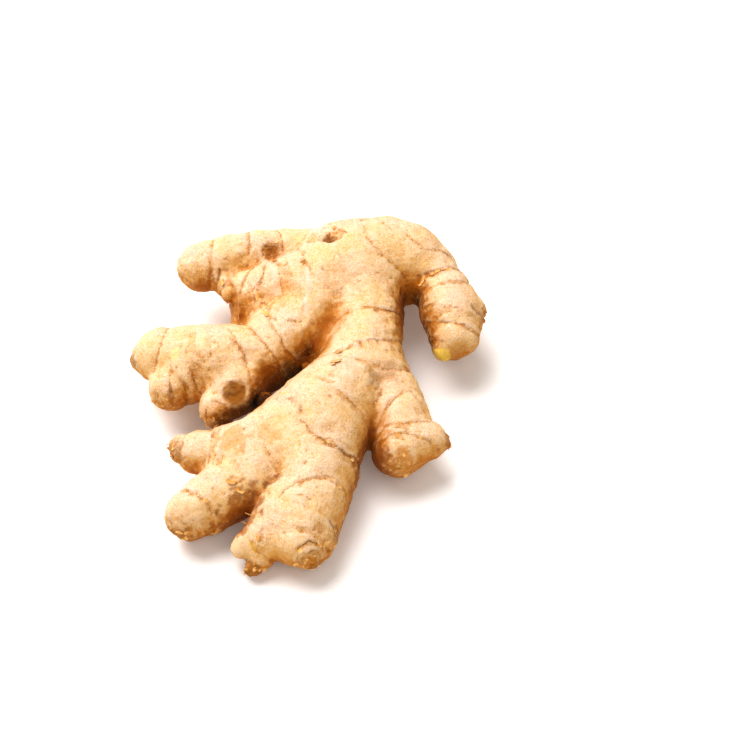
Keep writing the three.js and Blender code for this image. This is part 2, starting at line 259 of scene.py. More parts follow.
# %% Limbs
TO_FRAME = np.array([23.8182, 18.8183, 0])
LIMBS = {
    "crown": {
        "web": 5.0,
        "spine": [
            (-46, 20, 19, 10), (-27, 21, 21, 15), (-7, 31, 22, 18), (9, 35, 22, 15), (19, 32, 21, 11),
        ],
        "rings": [(12, 0.15, 0.1, -0.2, 1.5), (25, 0.15, -0.2, 0.1, 0.8), (58, 0.35, 0.15, 0.8, 0.35)],
    },
    "stem": {
        "web": 5.0,
        "spine": [(-5, 23, 20, 15), (-3, 2, 19, 13), (-8, -19, 18, 14.9), (-19, -40, 18, 16.6)],
        "rings": [
            (18.5, 0.2, 0, 0, 0.5),
            (34.3, 0.65, 0.05, -0.32, 0.4),
            (41.8, 0.27, 0.21, -0.18, 0.4),
            (60.5, -0.15, 0, 0, 0.35),
        ],
    },
    "shoulder": {"web": 3.5, "spine": [(-14, -25, 18, 12.6), (-27, -38, 17.5, 12.6), (-42, -50, 16, 11.3)]},
    "toe_c": {
        "web": 2.6,
        "spine": [(-18, -44, 16.8, 15.4), (-21, -65, 14, 13.6), (-24, -78, 12, 12.9), (-25, -85, 12, 9.7)],
        "rings": [(-1, -0.6, 0.2, -0.5, 0.6), (35.4, 0.55, -0.41, 0.79, 0.4), (38, 0.2, 0, 0, 0.25)],
    },
    "toe_c_heel": {"web": 3.0, "spine": [(-28, -74, 13, 12), (-34, -81, 11.5, 8.8), (-38, -87, 8, 4.8)]},
    "toe_c_bud": {"web": 2.0, "spine": [(-37, -81, 11.5, 5.5), (-42, -84, 10, 4.6), (-44.5, -86, 9, 3.6)]},
    "toe_c_stub": {"web": 1.2, "spine": [(-38, -88, 6, 4), (-41, -91, 4.5, 2.8)]},
    "toe_c_eye": {"web": 2.2, "spine": [(-20, -84, 11, 7), (-22, -90, 11, 4.7)]},
    "toe_b": {
        "web": 2.6,
        "spine": [(-29, -49, 16, 13), (-42, -60, 14, 11.6), (-54, -68, 12.5, 10.5), (-62, -74, 12, 9.1)],
        "rings": [(8.6, -0.15, 0.1, 0.05, 0.25), (22, 0, 0, 0.1, 0.25), (37.5, 0.14, -0.18, 0.14, 0.6)],
    },
    "toe_a": {
        "web": 3.5,
        "spine": [(-44, -51, 16, 11.6), (-58, -50, 16, 8.2), (-65, -49, 16.5, 5.6)],
        "rings": [(10, -0.05, -0.25, 0.4, 0.7), (19, 0, 0, 0, 0.4)],
    },
    "arm": {
        "web": 3.2,
        "spine": [(-23, 13, 20.5, 12.6), (-39, -8, 19, 13), (-60, -11, 19, 13.7), (-75, -8, 19, 10.2)],
        "rings": [
            (14.5, -0.29, 0.42, -0.55, 0.35),
            (27.4, 0.03, -0.15, -0.11, 0.4),
            (43.6, -0.19, -0.52, 0.49, 0.45),
            (48.6, 0, -0.1, -0.1, 0.3),
            (59, 0, 0, 0, 0.4),
        ],
    },
    "arm_a": {"web": 3.0, "spine": [(-65, -16, 18, 9.8), (-71, -21, 17, 8)], "rings": [(3, 0, 0, 0, 0.7)]},
    "arm_b": {"web": 2.6, "spine": [(-47, -21, 18, 9.8), (-54, -28, 16, 7), (-56, -34, 15, 3.1)]},
    "arm_bud": {"web": 1.8, "spine": [(-80, -9, 19, 5), (-83, -10, 19, 3.2)]},
    "thumb": {
        "web": 2.6,
        "spine": [(-3, -11, 18, 12.7), (6, -28, 16, 11.1), (9, -40, 14, 11.4), (8, -47, 13, 9.6)],
        "rings": [
            (14, 0.3, 0, 0, 0.35),
            (31.6, 0.73, -0.38, 0.78, 0.3),
            (34.4, 0.13, -0.08, 0.16, 0.35),
            (43.4, 0.1, -0.43, 0.78, 0.3),
        ],
    },
    "thumb_a": {"web": 2.8, "spine": [(14, -44, 15, 8.3), (17, -44, 15, 7.2), (23, -44, 14, 3.1)]},
    "finger": {
        "web": 2.6,
        "spine": [
            (4, 41, 22, 13), (16, 32, 21, 10.8), (24, 22, 21, 10), (27, 12, 20, 11.6), (29, 2, 19, 8.5),
        ],
        "rings": [
            (23.1, -0.05, -0.49, -0.27, 0.45),
            (32, 0, 0, -0.2, 0.35),
            (37.7, -0.23, 0.18, -0.27, 0.35),
            (45.5, -0.38, -0.70, -0.53, 0.35),
        ],
    },
    "finger_tip": {"web": 2.6, "spine": [(27, 3, 18, 7.4), (24.5, -2.5, 17.5, 4.6), (23.8, -5, 17.3, 3)]},
    "finger_a": {"web": 1.8, "spine": [(34, 13, 21, 5), (36, 12, 21, 3.6)]},
    "back": {
        "web": 2.8,
        "spine": [(-23, 40, 22, 9), (-43, 37, 24, 9.4), (-60, 32, 23, 9.8), (-65, 32, 23, 6.5)],
        "rings": [(12, 0, 0, 0, 0.5), (23.9, -0.05, 0.2, 0.2, 0.45), (36.5, -0.1, 0.2, 0.1, 0.45)],
    },
    "back_a": {
        "web": 1.8,
        "spine": [(-53, 26, 22, 5.8), (-52, 20, 21.5, 3.9)],
        "rings": [(3.5, 0, 0, 0, 0.6)],
    },
    "knob": {"web": 2.4, "spine": [(-3, 40, 27, 8), (-12, 41, 29.5, 6.2), (-20, 37.5, 31, 4.2)]},
    "foot_left": {"web": 4.0, "spine": [(-36, 4, 16, 11), (-44, 12, 7.4, 8.6)]},
    "foot_right": {"web": 4.0, "spine": [(5, 38, 16, 12), (13, 45, 7.6, 8.6)]},
    "back_eye": {"web": 2.8, "spine": [(-14, 44, 15, 8), (-19, 54, 14, 4.2)]},
}
BROKEN_END = {
    "limb": "crown",
    "at": np.array([-51, 17, 18]),
    "facing": np.array([-0.93, -0.3, 0.1]),
}
# A hollow is (place, radius, depth). The cave lies under the lip of the small knob on the crown.
HOLLOWS = {
    "heel_scar": ((-48.3, -29.8, 23.8), 5.0, 1.3),
    "knob_cave": ((-15.5, 33.5, 37.0), 5.6, 6.0),
    "brown_bud": ((-37.0, 31.0, 31.0), 4.4, 1.4),
    "crevice": ((-38.4, -29.5, 19.0), 4.5, 3.0),
}
# The knob was cut across long ago, which left one flat pale face.
KNOB_CUT = {"at": np.array([-20.6, 36.6, 34.6]), "facing": np.array([-0.42, -0.30, 0.86]), "radius": 4.5}
print(len(LIMBS), "limbs,", sum(len(limb.get("rings", [])) for limb in LIMBS.values()), "rings")

# %% [markdown]
# ## Smooth helpers
# Three small functions serve all the relief: a share with a soft start and end, a bell round zero, and a
# random field that swells and sinks over a given length. The field is worked out from whole numbers, so
# it is the same on each run. Two more pile such fields up, or use one to make a mark strong and weak.

# %% Shares, bells and random fields
FIELD_TURN = np.array([[0.80, 0.36, -0.48], [-0.60, 0.48, -0.64], [0, 0.80, 0.60]])
FIELD_SHIFT = 31.7


def smooth(share):
    """0 to 1 with a soft start and a soft end."""
    return share * share * (3 - 2 * share)


def bell(distance, width):
    """1 at no distance, and almost 0 past twice the width."""
    return np.exp(-((distance / width) ** 2))


def random_field(points, length, seed):
    """Values from about -1 to 1 that swell and sink over the length, the same on each run."""
    spot = points @ FIELD_TURN / length + FIELD_SHIFT * seed
    cell = np.floor(spot).astype(np.int64)
    share = smooth(spot - cell)
    total = np.zeros(len(points))
    for corner in itertools.product((0, 1), repeat=3):
        x, y, z = (cell + corner).T
        mixed = (x * 73856093) ^ (y * 19349663) ^ (z * 83492791) ^ (seed * 7919)
        mixed = ((mixed ^ (mixed >> 13)) * 1274126177) & 0xFFFFFFFF
        mixed = ((mixed ^ (mixed >> 15)) * 668265263) & 0xFFFFFFFF
        weight = np.prod(np.where(corner, share, 1 - share), axis=1)
        total += weight * (mixed / 0x7FFFFFFF - 1)
    return total


def layered(points, layers, seed=0):
    """Fields piled up. A layer is (height, length, its own seed)."""
    return sum(height * random_field(points, length, seed + own) for height, length, own in layers)


def patchy(points, length, seed, middle, swing, low, high):
    """Strong in some places and weak in others, but never past low and high."""
    return np.clip(middle + swing * random_field(points, length, seed), low, high)


print("a field at three places:", random_field(np.eye(3), 2.0, 1).round(2))

# %% [markdown]
# ## Spines as short steps
# A spine goes smoothly through its balls, and its radius swells from one ball to the next. It is cut into
# steps of about two millimetres, because the distance to a short straight step is quick to work out.

# %% Spines as short steps
SPINE_STEP = 2.0
LONGER_THAN_CHORD = 1.05


def spine_steps(balls):
    """The spine as [x, y, z, radius, distance run], a point every couple of millimetres."""
    balls = np.array(balls, float)
    last = len(balls) - 1
    ahead = np.vstack([2 * balls[0] - balls[1], balls, 2 * balls[last] - balls[last - 1]])
    chords = np.linalg.norm(np.diff(balls[:, :3], axis=0), axis=1).sum()
    count = max(3, math.ceil(LONGER_THAN_CHORD * chords / SPINE_STEP))
    steps = []
    for t in np.linspace(0, last, count + 1):
        span = min(int(t), last - 1)
        share = t - span
        before, start, end, after = ahead[span : span + 4, :3]
        leave = 0.5 * (end - before)
        reach = 0.5 * (after - start)
        bend = -3 * start + 3 * end - 2 * leave - reach
        point = start + leave * share + bend * share**2 + (2 * start - 2 * end + leave + reach) * share**3
        radius = balls[span, 3] + (balls[span + 1, 3] - balls[span, 3]) * smooth(share)
        steps.append([*point, radius])
    steps = np.array(steps)
    run = np.concatenate([[0], np.cumsum(np.linalg.norm(np.diff(steps[:, :3], axis=0), axis=1))])
    return np.column_stack([steps, run])


for limb in LIMBS.values():
    limb["steps"] = spine_steps(limb["spine"])
print("the arm's spine is", round(LIMBS["arm"]["steps"][-1, 4]), "mm long")

# %% [markdown]
# ## Relief as a distance
# A point's distance from the skin is worked out from the nearest place on each spine. Anything that is
# added to that distance sinks the skin there, so a groove, a ledge or a wrinkle is a few words of maths.
# A displacement texture could do the same, but it knows nothing of the limb that it lies on.

# %% Distance from each limb
FAR = 9.0


def near_limb(points, limb):
    """For each point: how far it is from the limb's skin, how far along the spine, which way off the
    spine, and which way the spine runs there."""
    steps = limb["steps"]
    gap = np.full(len(points), FAR)
    run = np.zeros(len(points))
    off = np.zeros((len(points), 3))
    way = np.zeros((len(points), 3))
    reach = steps[:, 3:4] + FAR
    low = (steps[:, :3] - reach).min(0)
    high = (steps[:, :3] + reach).max(0)
    near = np.flatnonzero(((points > low) & (points < high)).all(1))
    here = points[near]
    for start, end in zip(steps[:-1], steps[1:]):
        axis = end[:3] - start[:3]
        share = np.clip((here - start[:3]) @ axis / (axis @ axis), 0, 1)
        side = here - start[:3] - share[:, None] * axis
        distance = np.linalg.norm(side, axis=1) - (start[3] + (end[3] - start[3]) * share)
        closer = distance < gap[near]
        index = near[closer]
        gap[index] = distance[closer]
        run[index] = (start[4] + (end[4] - start[4]) * share)[closer]
        off[index] = side[closer]
        way[index] = axis / np.linalg.norm(axis)
    return gap, run, off, way


middle_of_arm = LIMBS["arm"]["steps"][:1, :3]
print("the arm is", round(-float(near_limb(middle_of_arm, LIMBS["arm"])[0][0]), 1), "mm thick to its spine")

# %% [markdown]
# ## Rings
# A ring is where a scale leaf grew. The limb is a little waisted there, the skin towards the body ends
# in a thin collar, and just past the collar runs a dark, wandering crack. Its mark fades in and out on its
# way round, so random fields shift and weaken each ring.

# %% The profile of a ring
WANDER = ((0.8, 7.0, 0), (0.3, 2.6, 50), (0.12, 1.2, 60))
WAIST_DEPTH, WAIST_REACH = 0.55, 3.0
COLLAR_HEIGHT, COLLAR_REACH = 0.36, 1.6
LEDGE_DEPTH, LEDGE_REACH = 0.26, 1.2
CRACK_DEPTH, CRACK_PLACE, CRACK_WIDTH = 0.26, 0.35, 0.5


def ring_place(points, run, off, ring, seed):
    """How far past the ring each point lies, along the limb, and how marked the ring is there."""
    at, x, y, z, mark = ring
    past = run + off @ np.array([x, y, z]) - at + layered(points, WANDER, seed)
    return past, mark * patchy(points, 6.0, seed + 100, 0.75, 0.75, 0.12, 1.5)


def ring_relief(past, strength):
    """How deep the skin sinks near a ring."""
    waist = WAIST_DEPTH * np.exp(-np.abs(past) / WAIST_REACH)
    collar = -COLLAR_HEIGHT * np.exp(np.minimum(past, 0) / COLLAR_REACH)
    ledge = LEDGE_DEPTH * np.exp(-past / LEDGE_REACH)
    crack = CRACK_DEPTH * bell(past - CRACK_PLACE, CRACK_WIDTH)
    return waist + strength * (np.where(past < 0, collar, ledge) + crack)


print("a plain ring is", round(float(ring_relief(np.array([0.3]), 1.0)[0]), 2), "mm deep")

# %% [markdown]
# ## All the limbs as one distance
# Where two limbs meet, the smaller of their distances would leave a sharp crease, so a fillet is added that
# is as wide as the limb's web. The broken end and the old cut on the knob are flat faces, which a larger
# distance cuts off. Hollows are added last.

# %% The distance from the skin
RING_REACH = 7.0
RIM_SLOPE = 3


def skin(points):
    """The distance from the skin, and what is known about the nearest limb at each point."""
    nearest = np.full(len(points), FAR)
    total = np.full(len(points), FAR)
    facts = {
        "way": np.zeros((len(points), 3)),
        "past": np.full(len(points), RING_REACH),
        "mark": np.zeros(len(points)),
    }
    for number, limb in enumerate(LIMBS.values()):
        gap, run, off, way = near_limb(points, limb)
        near = np.flatnonzero(gap < FAR)
        past = np.full(len(points), RING_REACH)
        mark = np.zeros(len(points))
        relief = np.zeros(len(points))
        for count, ring in enumerate(limb.get("rings", [])):
            beyond, strength = ring_place(points[near], run[near], off[near], ring, 7 * number + count)
            relief[near] += ring_relief(beyond, strength)
            closer = np.abs(beyond) < np.abs(past[near])
            past[near[closer]] = beyond[closer]
            mark[near[closer]] = strength[closer]
        gap = gap + relief
        owned = gap < nearest
        nearest[owned] = gap[owned]
        for name, values in (("way", way), ("past", past), ("mark", mark)):
            facts[name][owned] = values[owned]
        overlap = np.maximum(limb["web"] - np.abs(total - gap), 0) / limb["web"]
        total = np.minimum(total, gap) - overlap * overlap * limb["web"] / 4
        if limb is LIMBS[BROKEN_END["limb"]]:
            total = np.maximum(total, (points - BROKEN_END["at"]) @ BROKEN_END["facing"])
    for place, radius, depth in HOLLOWS.values():
        share = np.minimum(np.linalg.norm(points - np.array(place), axis=1) / radius, 1)
        total = total + depth * (1 - share * share) ** 2
    past_rim = np.maximum(np.linalg.norm(points - KNOB_CUT["at"], axis=1) - KNOB_CUT["radius"], 0)
    total = np.maximum(total, (points - KNOB_CUT["at"]) @ KNOB_CUT["facing"] - RIM_SLOPE * past_rim)
    facts["gap"] = total
    return facts


print("above the crown the skin is", round(float(skin(np.array([[-7.0, 31, 42]]))["gap"][0]), 1), "mm away")

# %% [markdown]
# ## The body to carve
# The solid is a net of broad flat faces. A copy is merged, cut into an even grid of small cubes by a voxel
# remesh, and smoothed, which gives a plain clay body with a point about every 0.7 mm. The points are then
# drawn onto the finer distance above, along their own normals.

# %% Copy, merge, remesh and smooth
VOXEL = 0.0007
MERGE_WITHIN = 0.00001


def select_only(thing):
    bpy.ops.object.select_all(action="DESELECT")
    thing.select_set(True)
    bpy.context.view_layer.objects.active = thing


def apply_modifier(thing, kind, **settings):
    """Adds a modifier with its settings and applies it."""
    select_only(thing)
    modifier = thing.modifiers.new(kind.lower(), kind)
    for name, value in settings.items():
        setattr(modifier, name, value)
    bpy.ops.object.modifier_apply(modifier=modifier.name)


ginger = bpy.data.objects.new("ginger_skin", solid.data.copy())
bpy.context.scene.collection.objects.link(ginger)
ginger.data.materials.clear()
select_only(ginger)
bpy.ops.object.mode_set(mode="EDIT")
bpy.ops.mesh.select_all(action="SELECT")
bpy.ops.mesh.remove_doubles(threshold=MERGE_WITHIN)
bpy.ops.object.mode_set(mode="OBJECT")
apply_modifier(ginger, "REMESH", mode="VOXEL", voxel_size=VOXEL, adaptivity=0)
apply_modifier(ginger, "SMOOTH", factor=0.5, iterations=6)
print("clay body:", len(ginger.data.vertices), "points,", len(ginger.data.polygons), "faces")

# %% [markdown]
# ## Points as arrays
# A hundred thousand points are too many to move one by one in Python, so they are read into arrays, moved
# all at once and written back. A value is blurred over the skin by taking the mean over its neighbours.

# %% Points, edges and normals as arrays
def points_of(thing):
    flat = np.zeros(3 * len(thing.data.vertices), np.float32)
    thing.data.vertices.foreach_get("co", flat)
    return MM * flat.reshape(-1, 3).astype(float) - TO_FRAME


def put_points(thing, points):
    flat = ((points + TO_FRAME) / MM).astype(np.float32).ravel()
    thing.data.vertices.foreach_set("co", flat)
    thing.data.update()


def normals_of(thing):
    flat = np.zeros(3 * len(thing.data.vertices), np.float32)
    thing.data.vertex_normals.foreach_get("vector", flat)
    return flat.reshape(-1, 3).astype(float)


edges = np.zeros(2 * len(ginger.data.edges), np.int32)
ginger.data.edges.foreach_get("vertices", edges)
edges = edges.reshape(-1, 2)
both_ways = np.vstack([edges, edges[:, ::-1]])
print(len(edges), "edges")


def spread(values, rounds, weights=None):
    """Each value becomes the mean of its neighbours' and its own, as often as asked."""
    weights = np.ones(len(both_ways)) if weights is None else weights
    here, there = both_ways.T
    total = np.bincount(here, weights, len(values)) + 1
    for _ in range(rounds):
        if values.ndim == 1:
            values = (np.bincount(here, weights * values[there], len(values)) + values) / total
        else:
            columns = [np.bincount(here, weights * column[there], len(values)) for column in values.T]
            values = (np.column_stack(columns) + values) / total[:, None]
    return values

# %% Draw the points onto the skin
PULLS = 4
LONGEST_PULL = 1.2
EVENING = 0.35
points = points_of(ginger)
for _ in range(PULLS):
    normals = spread(normals_of(ginger), 2)
    normals /= np.linalg.norm(normals, axis=1, keepdims=True)
    pull = np.clip(skin(points)["gap"], -LONGEST_PULL, LONGEST_PULL)
    points = points - pull[:, None] * normals
    points = points + EVENING * (spread(points, 1) - points)
    put_points(ginger, points)
facts = skin(points)
print("off the skin by", round(float(np.abs(facts["gap"]).mean()), 3), "mm on average")

# %% [markdown]
# ## Cracks and edges that no ring explains
# The photograph also shows cracks, torn edges of the thin outer skin and creases that go their own way.
# Each is a short line of points in the table's millimetres. The distance to it is measured along the skin,
# so a line that floats a little above or below still lands on it.

# %% Listed lines
# A line is (points, half width, depth, darkness, lift of one side). A darkness below 0 makes a pale line.
CRACKS = {
    "torn_edge": ([
        (-39, 23, 32), (-40, 17.4, 31), (-41.7, 14.2, 29.4), (-40, 9.2, 28.4), (-38, 5.4, 29.6),
        (-38.3, 2.5, 30.3), (-35.3, -2.7, 32.3),
    ], 0.35, 0.25, 0.75, 0.6),
    "pale_band": ([
        (-24.5, 20.2, 35.4), (-23.3, 12.2, 34.5), (-24.3, 6.4, 33.8), (-23.7, 1.1, 33.3),
        (-21.4, -0.9, 32.3),
    ], 0.8, 0.05, -0.9, 0.1),
    "left_crack": ([(-30.6, -3.3, 32.9), (-27.2, -3.1, 33.3), (-24.5, -2.7, 32.7)], 0.35, 0.25, 0.9, 0),
    "top_crack": ([(2.7, 39.6, 37.1), (5.4, 37, 37.7), (7.2, 35.5, 37.2)], 0.35, 0.25, 0.7, 0.1),
    "shoulder_crack": ([
        (11.6, 34.1, 36.6), (15.7, 31.2, 35.4), (18.8, 30.3, 33.8), (23, 31.8, 31.2), (26.6, 32.7, 29.3),
    ], 0.4, 0.3, 0.75, 0.2),
    "small_arch": ([
        (-14.9, 21, 37.1), (-13.5, 23.3, 38.3), (-12, 21.5, 38.1), (-10.6, 19.1, 37.5),
    ], 0.25, 0.12, 0.45, 0),
    "neck_crack": ([
        (0, 2.9, 31.4), (3.5, 3.8, 29.5), (6.7, 5.5, 26.1), (8.2, 6.5, 23.3),
    ], 0.45, 0.5, 1.3, 0.25),
    "toe_crack": ([(-26.9, -78.9, 24.7), (-24.9, -79.6, 24.5), (-22.3, -81.6, 23.9)], 0.35, 0.25, 0.6, 0),
    "end_scale": ([
        (-15, -82.5, 18.6), (-13.3, -83.5, 15.6), (-12.7, -83.7, 10.5), (-14.3, -88, 11.2),
    ], 0.5, 0.4, 1.1, 0.4),
    "toe_patch": ([
        (-53, -47.8, 24.7), (-53.4, -51.6, 24.9), (-54.5, -53.5, 24.1), (-55.1, -55.3, 23.2),
        (-53.7, -57.8, 22.8), (-52.6, -60.2, 22.5), (-51.2, -63.9, 23.2),
    ], 0.35, 0.12, 0.5, 0.2),
    "shoulder_patch": ([
        (-41, -46.1, 28.4), (-39.2, -50.6, 28.4), (-38.5, -53.4, 27.8), (-37.4, -55.6, 27),
        (-35.3, -59.3, 25.6),
    ], 0.35, 0.1, 0.4, 0.15),
    "brown_stripe": ([
        (-29.2, -39.2, 32.4), (-25.7, -43.6, 33.3), (-25.3, -45.9, 32.8),
    ], 0.9, 0.15, 0.7, 0.1),
    "arm_crack": ([
        (-64.1, -21.1, 27.1), (-63, -22.7, 25.2), (-62.1, -24, 23.1), (-61.4, -26.9, 19.5),
        (-61, -29.8, 17.6),
    ], 0.5, 0.5, 0.95, 0),
    "arm_nick": ([(-71.4, -22.4, 24.4), (-70, -21.4, 25.3)], 0.4, 0.3, 0.9, 0),
    "arm_fold": ([(-70.7, -25.1, 23.2), (-70, -28.2, 19.4)], 0.5, 0.4, 0.8, 0),
    "heel_crack": ([(-58.4, -33.3, 19.5), (-57.8, -36.5, 15)], 0.4, 0.3, 0.8, 0),
    "heel_line": ([(-56.6, -31.4, 21.5), (-51.8, -32.6, 20.8), (-47, -31.5, 19.5)], 0.35, 0.2, 0.6, 0.1),
    "finger_fold": ([
        (15.2, 22, 29), (16.1, 19.7, 26.2), (18.2, 21, 28.7), (21, 20.9, 30), (22.8, 22.7, 30.8),
        (26.8, 25.4, 29.6), (29.6, 25.6, 27.8),
    ], 0.5, 0.45, 1.0, 0.2),
    "finger_line": ([(24.9, 15.6, 30), (29.3, 16.2, 29.8), (33, 19.5, 27.4)], 0.3, 0.2, 0.75, 0.1),
    "finger_bud_crease": ([(34, 8, 26.8), (35.4, 7.2, 25.1), (37.7, 7.9, 21)], 0.6, 0.5, 1.1, 0),
    "back_crease": ([
        (-44.8, 25.5, 28.4), (-46.4, 21.1, 28.9), (-47.7, 17.6, 28.4), (-48.4, 13.7, 26.2),
    ], 0.5, 0.4, 0.55, 0),
    "back_groove": ([(-55.5, 24.8, 28.2), (-55.9, 22.2, 26.2)], 0.5, 0.4, 0.8, 0),
    "back_groove_low": ([(-58.2, 24.5, 27.9), (-57.4, 21.8, 24)], 0.5, 0.4, 0.8, 0),
    "stem_nick": ([(-14.5, -16.8, 33.6), (-11.8, -15.8, 34.1)], 0.45, 0.35, 1.1, 0.2),
    "stem_nick_low": ([(-14.8, -23.9, 33.7), (-11.7, -22.3, 33.8)], 0.5, 0.35, 1.2, 0.3),
    "body_ring": ([
        (-18.8, -55, 29.4), (-14.1, -57.3, 27.5), (-8.4, -57.7, 22.7), (-6, -55, 17),
    ], 0.5, 0.5, 1.25, -0.35),
    "toe_c_fleck": ([
        (-27.5, -76.5, 25.0), (-24.5, -76.0, 25.4), (-22.0, -77.2, 25.0),
    ], 0.3, 0.15, 0.5, -0.2),
    "body_ring_start": ([
        (-24.3, -48.9, 31.1), (-21.5, -52.5, 30.4), (-18.8, -55, 29.4),
    ], 0.35, 0.25, 0.5, -0.3),
    "toe_c_ring": ([
        (-31.9, -75.4, 24.6), (-29.9, -73.2, 25.6), (-26, -71, 26), (-21, -69.8, 25.7),
        (-15, -69.6, 24.4), (-10.4, -69.6, 20.2),
    ], 0.3, 0.25, 0.5, -0.3),
    "crown_line": ([
        (-3.2, 30.9, 38.7), (0.7, 26.8, 37.3), (3.6, 24.5, 35.1), (7.5, 22.4, 32.1), (10.7, 21, 28.5),
        (12.2, 19.8, 25.6),
    ], 0.3, 0.15, 0.5, -0.1),
    "toe_b_ring": ([
        (-60.2, -72.1, 21.1), (-56.1, -75, 20.5), (-54.1, -77.8, 17),
    ], 0.35, 0.25, 0.75, -0.25),
    "arm_ring_tip": ([
        (-50, -11.8, 31.2), (-47.2, -14, 30.5), (-45.1, -17.4, 29.2), (-43.6, -22.6, 27.2),
        (-42.2, -26.4, 24.2),
    ], 0.45, 0.3, 0.65, -0.3),
    "arm_ring_middle": ([
        (-43.3, -5.5, 30.2), (-40, -10.5, 31), (-37.9, -13.5, 29.5), (-34.4, -16.4, 26),
        (-32.8, -17.2, 22.8),
    ], 0.35, 0.25, 0.5, -0.3),
    "arm_ring_root": ([
        (-32.8, -7.9, 30.1), (-32.4, -11.4, 28.8), (-30.3, -13.2, 26.6), (-27.6, -13, 23.3),
    ], 0.3, 0.2, 0.55, -0.2),
    "finger_ring": ([
        (15.4, 21.1, 27.8), (16.4, 21.9, 28.6), (19.3, 22.5, 29.9), (23.9, 23.8, 30.7),
        (28.3, 25.6, 28.9),
    ], 0.35, 0.35, 0.85, -0.3),
    "finger_ring_middle": ([
        (18.5, 9.9, 25.7), (21.6, 8.1, 28), (25.1, 6.1, 28.5), (28.6, 5.8, 28.9),
    ], 0.3, 0.25, 0.75, -0.25),
    "finger_ring_tip": ([
        (20.2, 5, 22.5), (26.1, 0.7, 26.6), (29.9, 0.3, 26), (34.2, -0.4, 24.7),
    ], 0.3, 0.25, 0.75, -0.25),
    "neck_ring": ([
        (-10.4, -16.8, 31.6), (-7.3, -14.1, 32.3), (-2.4, -12.4, 32.4), (2.8, -10.6, 29.9),
        (8.4, -6, 24.5), (9.9, -2.4, 20.1),
    ], 0.3, 0.2, 0.55, -0.25),
    "neck_ring_low": ([
        (-7.9, -20.9, 32.4), (-1.4, -21.3, 30.4), (2.8, -22.7, 28.9), (8, -21.3, 26.8),
        (11.5, -18.4, 22.6),
    ], 0.3, 0.2, 0.45, -0.25),
    "thumb_ring": ([
        (2.1, -41.1, 21.1), (3.1, -38.2, 23.5), (5.1, -34.8, 24.8), (8.9, -31.8, 25.5),
        (12.8, -29.4, 23.3),
    ], 0.3, 0.2, 0.5, -0.2),
    "thumb_ring_middle": ([
        (2.1, -45.7, 19.1), (4.4, -43.7, 21.9), (8.5, -43.3, 23.6), (13.7, -42.8, 24),
        (18.2, -40.9, 21.8),
    ], 0.3, 0.2, 0.55, -0.25),
    "thumb_ring_tip": ([
        (2.4, -49.5, 18.8), (5.1, -47, 21.1), (10.2, -46.7, 22.8), (15.3, -47.9, 22.1),
        (18.7, -48.9, 20.2),
    ], 0.35, 0.3, 0.65, -0.3),
    "back_ring": ([(-45.1, 38.1, 32.1), (-44.6, 34.1, 32), (-45.2, 30.2, 30.3)], 0.3, 0.15, 0.4, -0.2),
    "back_fold": ([(-58.8, 25, 28.5), (-59.6, 23.2, 24.1)], 0.5, 0.4, 0.9, 0),
    "back_fold_low": ([(-55.5, 25, 28.4), (-56.7, 20.8, 22.5)], 0.5, 0.4, 0.9, 0),
    "arm_low_crack": ([
        (-71.1, -20.9, 25.3), (-71.4, -24.3, 23.9), (-70.7, -27.8, 20.5), (-69.6, -28.4, 15.5),
    ], 0.4, 0.4, 0.85, 0),
    "knot_ring": ([
        (-25.7, -93.1, 17.1), (-22.1, -91.2, 18.9), (-16.9, -89.7, 16), (-15, -89.4, 11.3),
    ], 0.35, 0.35, 0.8, -0.3),
    "knob_lip": ([
        (-19.4, 38.1, 35.7), (-16.6, 39.6, 36.2), (-12.6, 36.8, 37.9), (-10, 33.4, 38.8),
    ], 0.4, 0.3, 0.8, -0.2),
}
print(len(CRACKS), "hand-drawn lines")

# %% Sink the lines
LINE_REACH = 6
OUT_OF_REACH = 50.0
MAY_FLOAT = 3
FLOAT_PENALTY = 3
SOFT_EDGE = 0.25
LINE_DEPTH = 0.75
LIFT_SHARE = 0.5
LIFT_REACH = 1.6
NO_LINE = 4.0
LINE_JITTER = ((0.55, 2.4, 300), (0.25, 1.3, 301))


def along_line(points, normals, line):
    """The distance from a line along the skin, and 1 or -1 for the side of it."""
    line = np.array(line, float)
    gap = np.full(len(points), OUT_OF_REACH)
    side = np.ones(len(points))
    around_line = (points > line.min(0) - LINE_REACH) & (points < line.max(0) + LINE_REACH)
    near = np.flatnonzero(around_line.all(1))
    here = points[near]
    facing = normals[near]
    for start, end in zip(line[:-1], line[1:]):
        axis = end - start
        share = np.clip((here - start) @ axis / (axis @ axis), 0, 1)
        away = here - start - share[:, None] * axis
        height = (away * facing).sum(1)
        away = away - height[:, None] * facing
        too_high = np.maximum(np.abs(height) - MAY_FLOAT, 0)
        distance = np.linalg.norm(away, axis=1) + FLOAT_PENALTY * too_high
        closer = distance < gap[near]
        turn = np.sign((np.cross(axis, facing) * away).sum(1))
        gap[near[closer]] = distance[closer]
        side[near[closer]] = turn[closer]
    return gap, side


normals = spread(normals_of(ginger), 2)
sink = np.zeros(len(points))
line_gap = np.full(len(points), NO_LINE)
line_mark = np.zeros(len(points))
jitter = layered(points, LINE_JITTER)
for line, half_width, depth, darkness, lift in CRACKS.values():
    gap, side = along_line(points, normals, line)
    reach = gap < LINE_REACH
    signed = np.where(reach, gap * side + jitter, gap)
    spot = np.abs(signed)
    sink += LINE_DEPTH * depth * bell(spot, half_width + SOFT_EDGE)
    sink -= np.where(reach, lift * np.sign(signed) * np.exp(-spot / LIFT_REACH) * LIFT_SHARE, 0)
    closer = spot / half_width < line_gap
    line_gap[closer] = (spot / half_width)[closer]
    line_mark[closer] = darkness
line_mark *= patchy(points, 4.0, 310, 0.85, 0.8, 0.35, 1.3)
print("lines up to", round(float(sink.max()), 2), "mm deep")

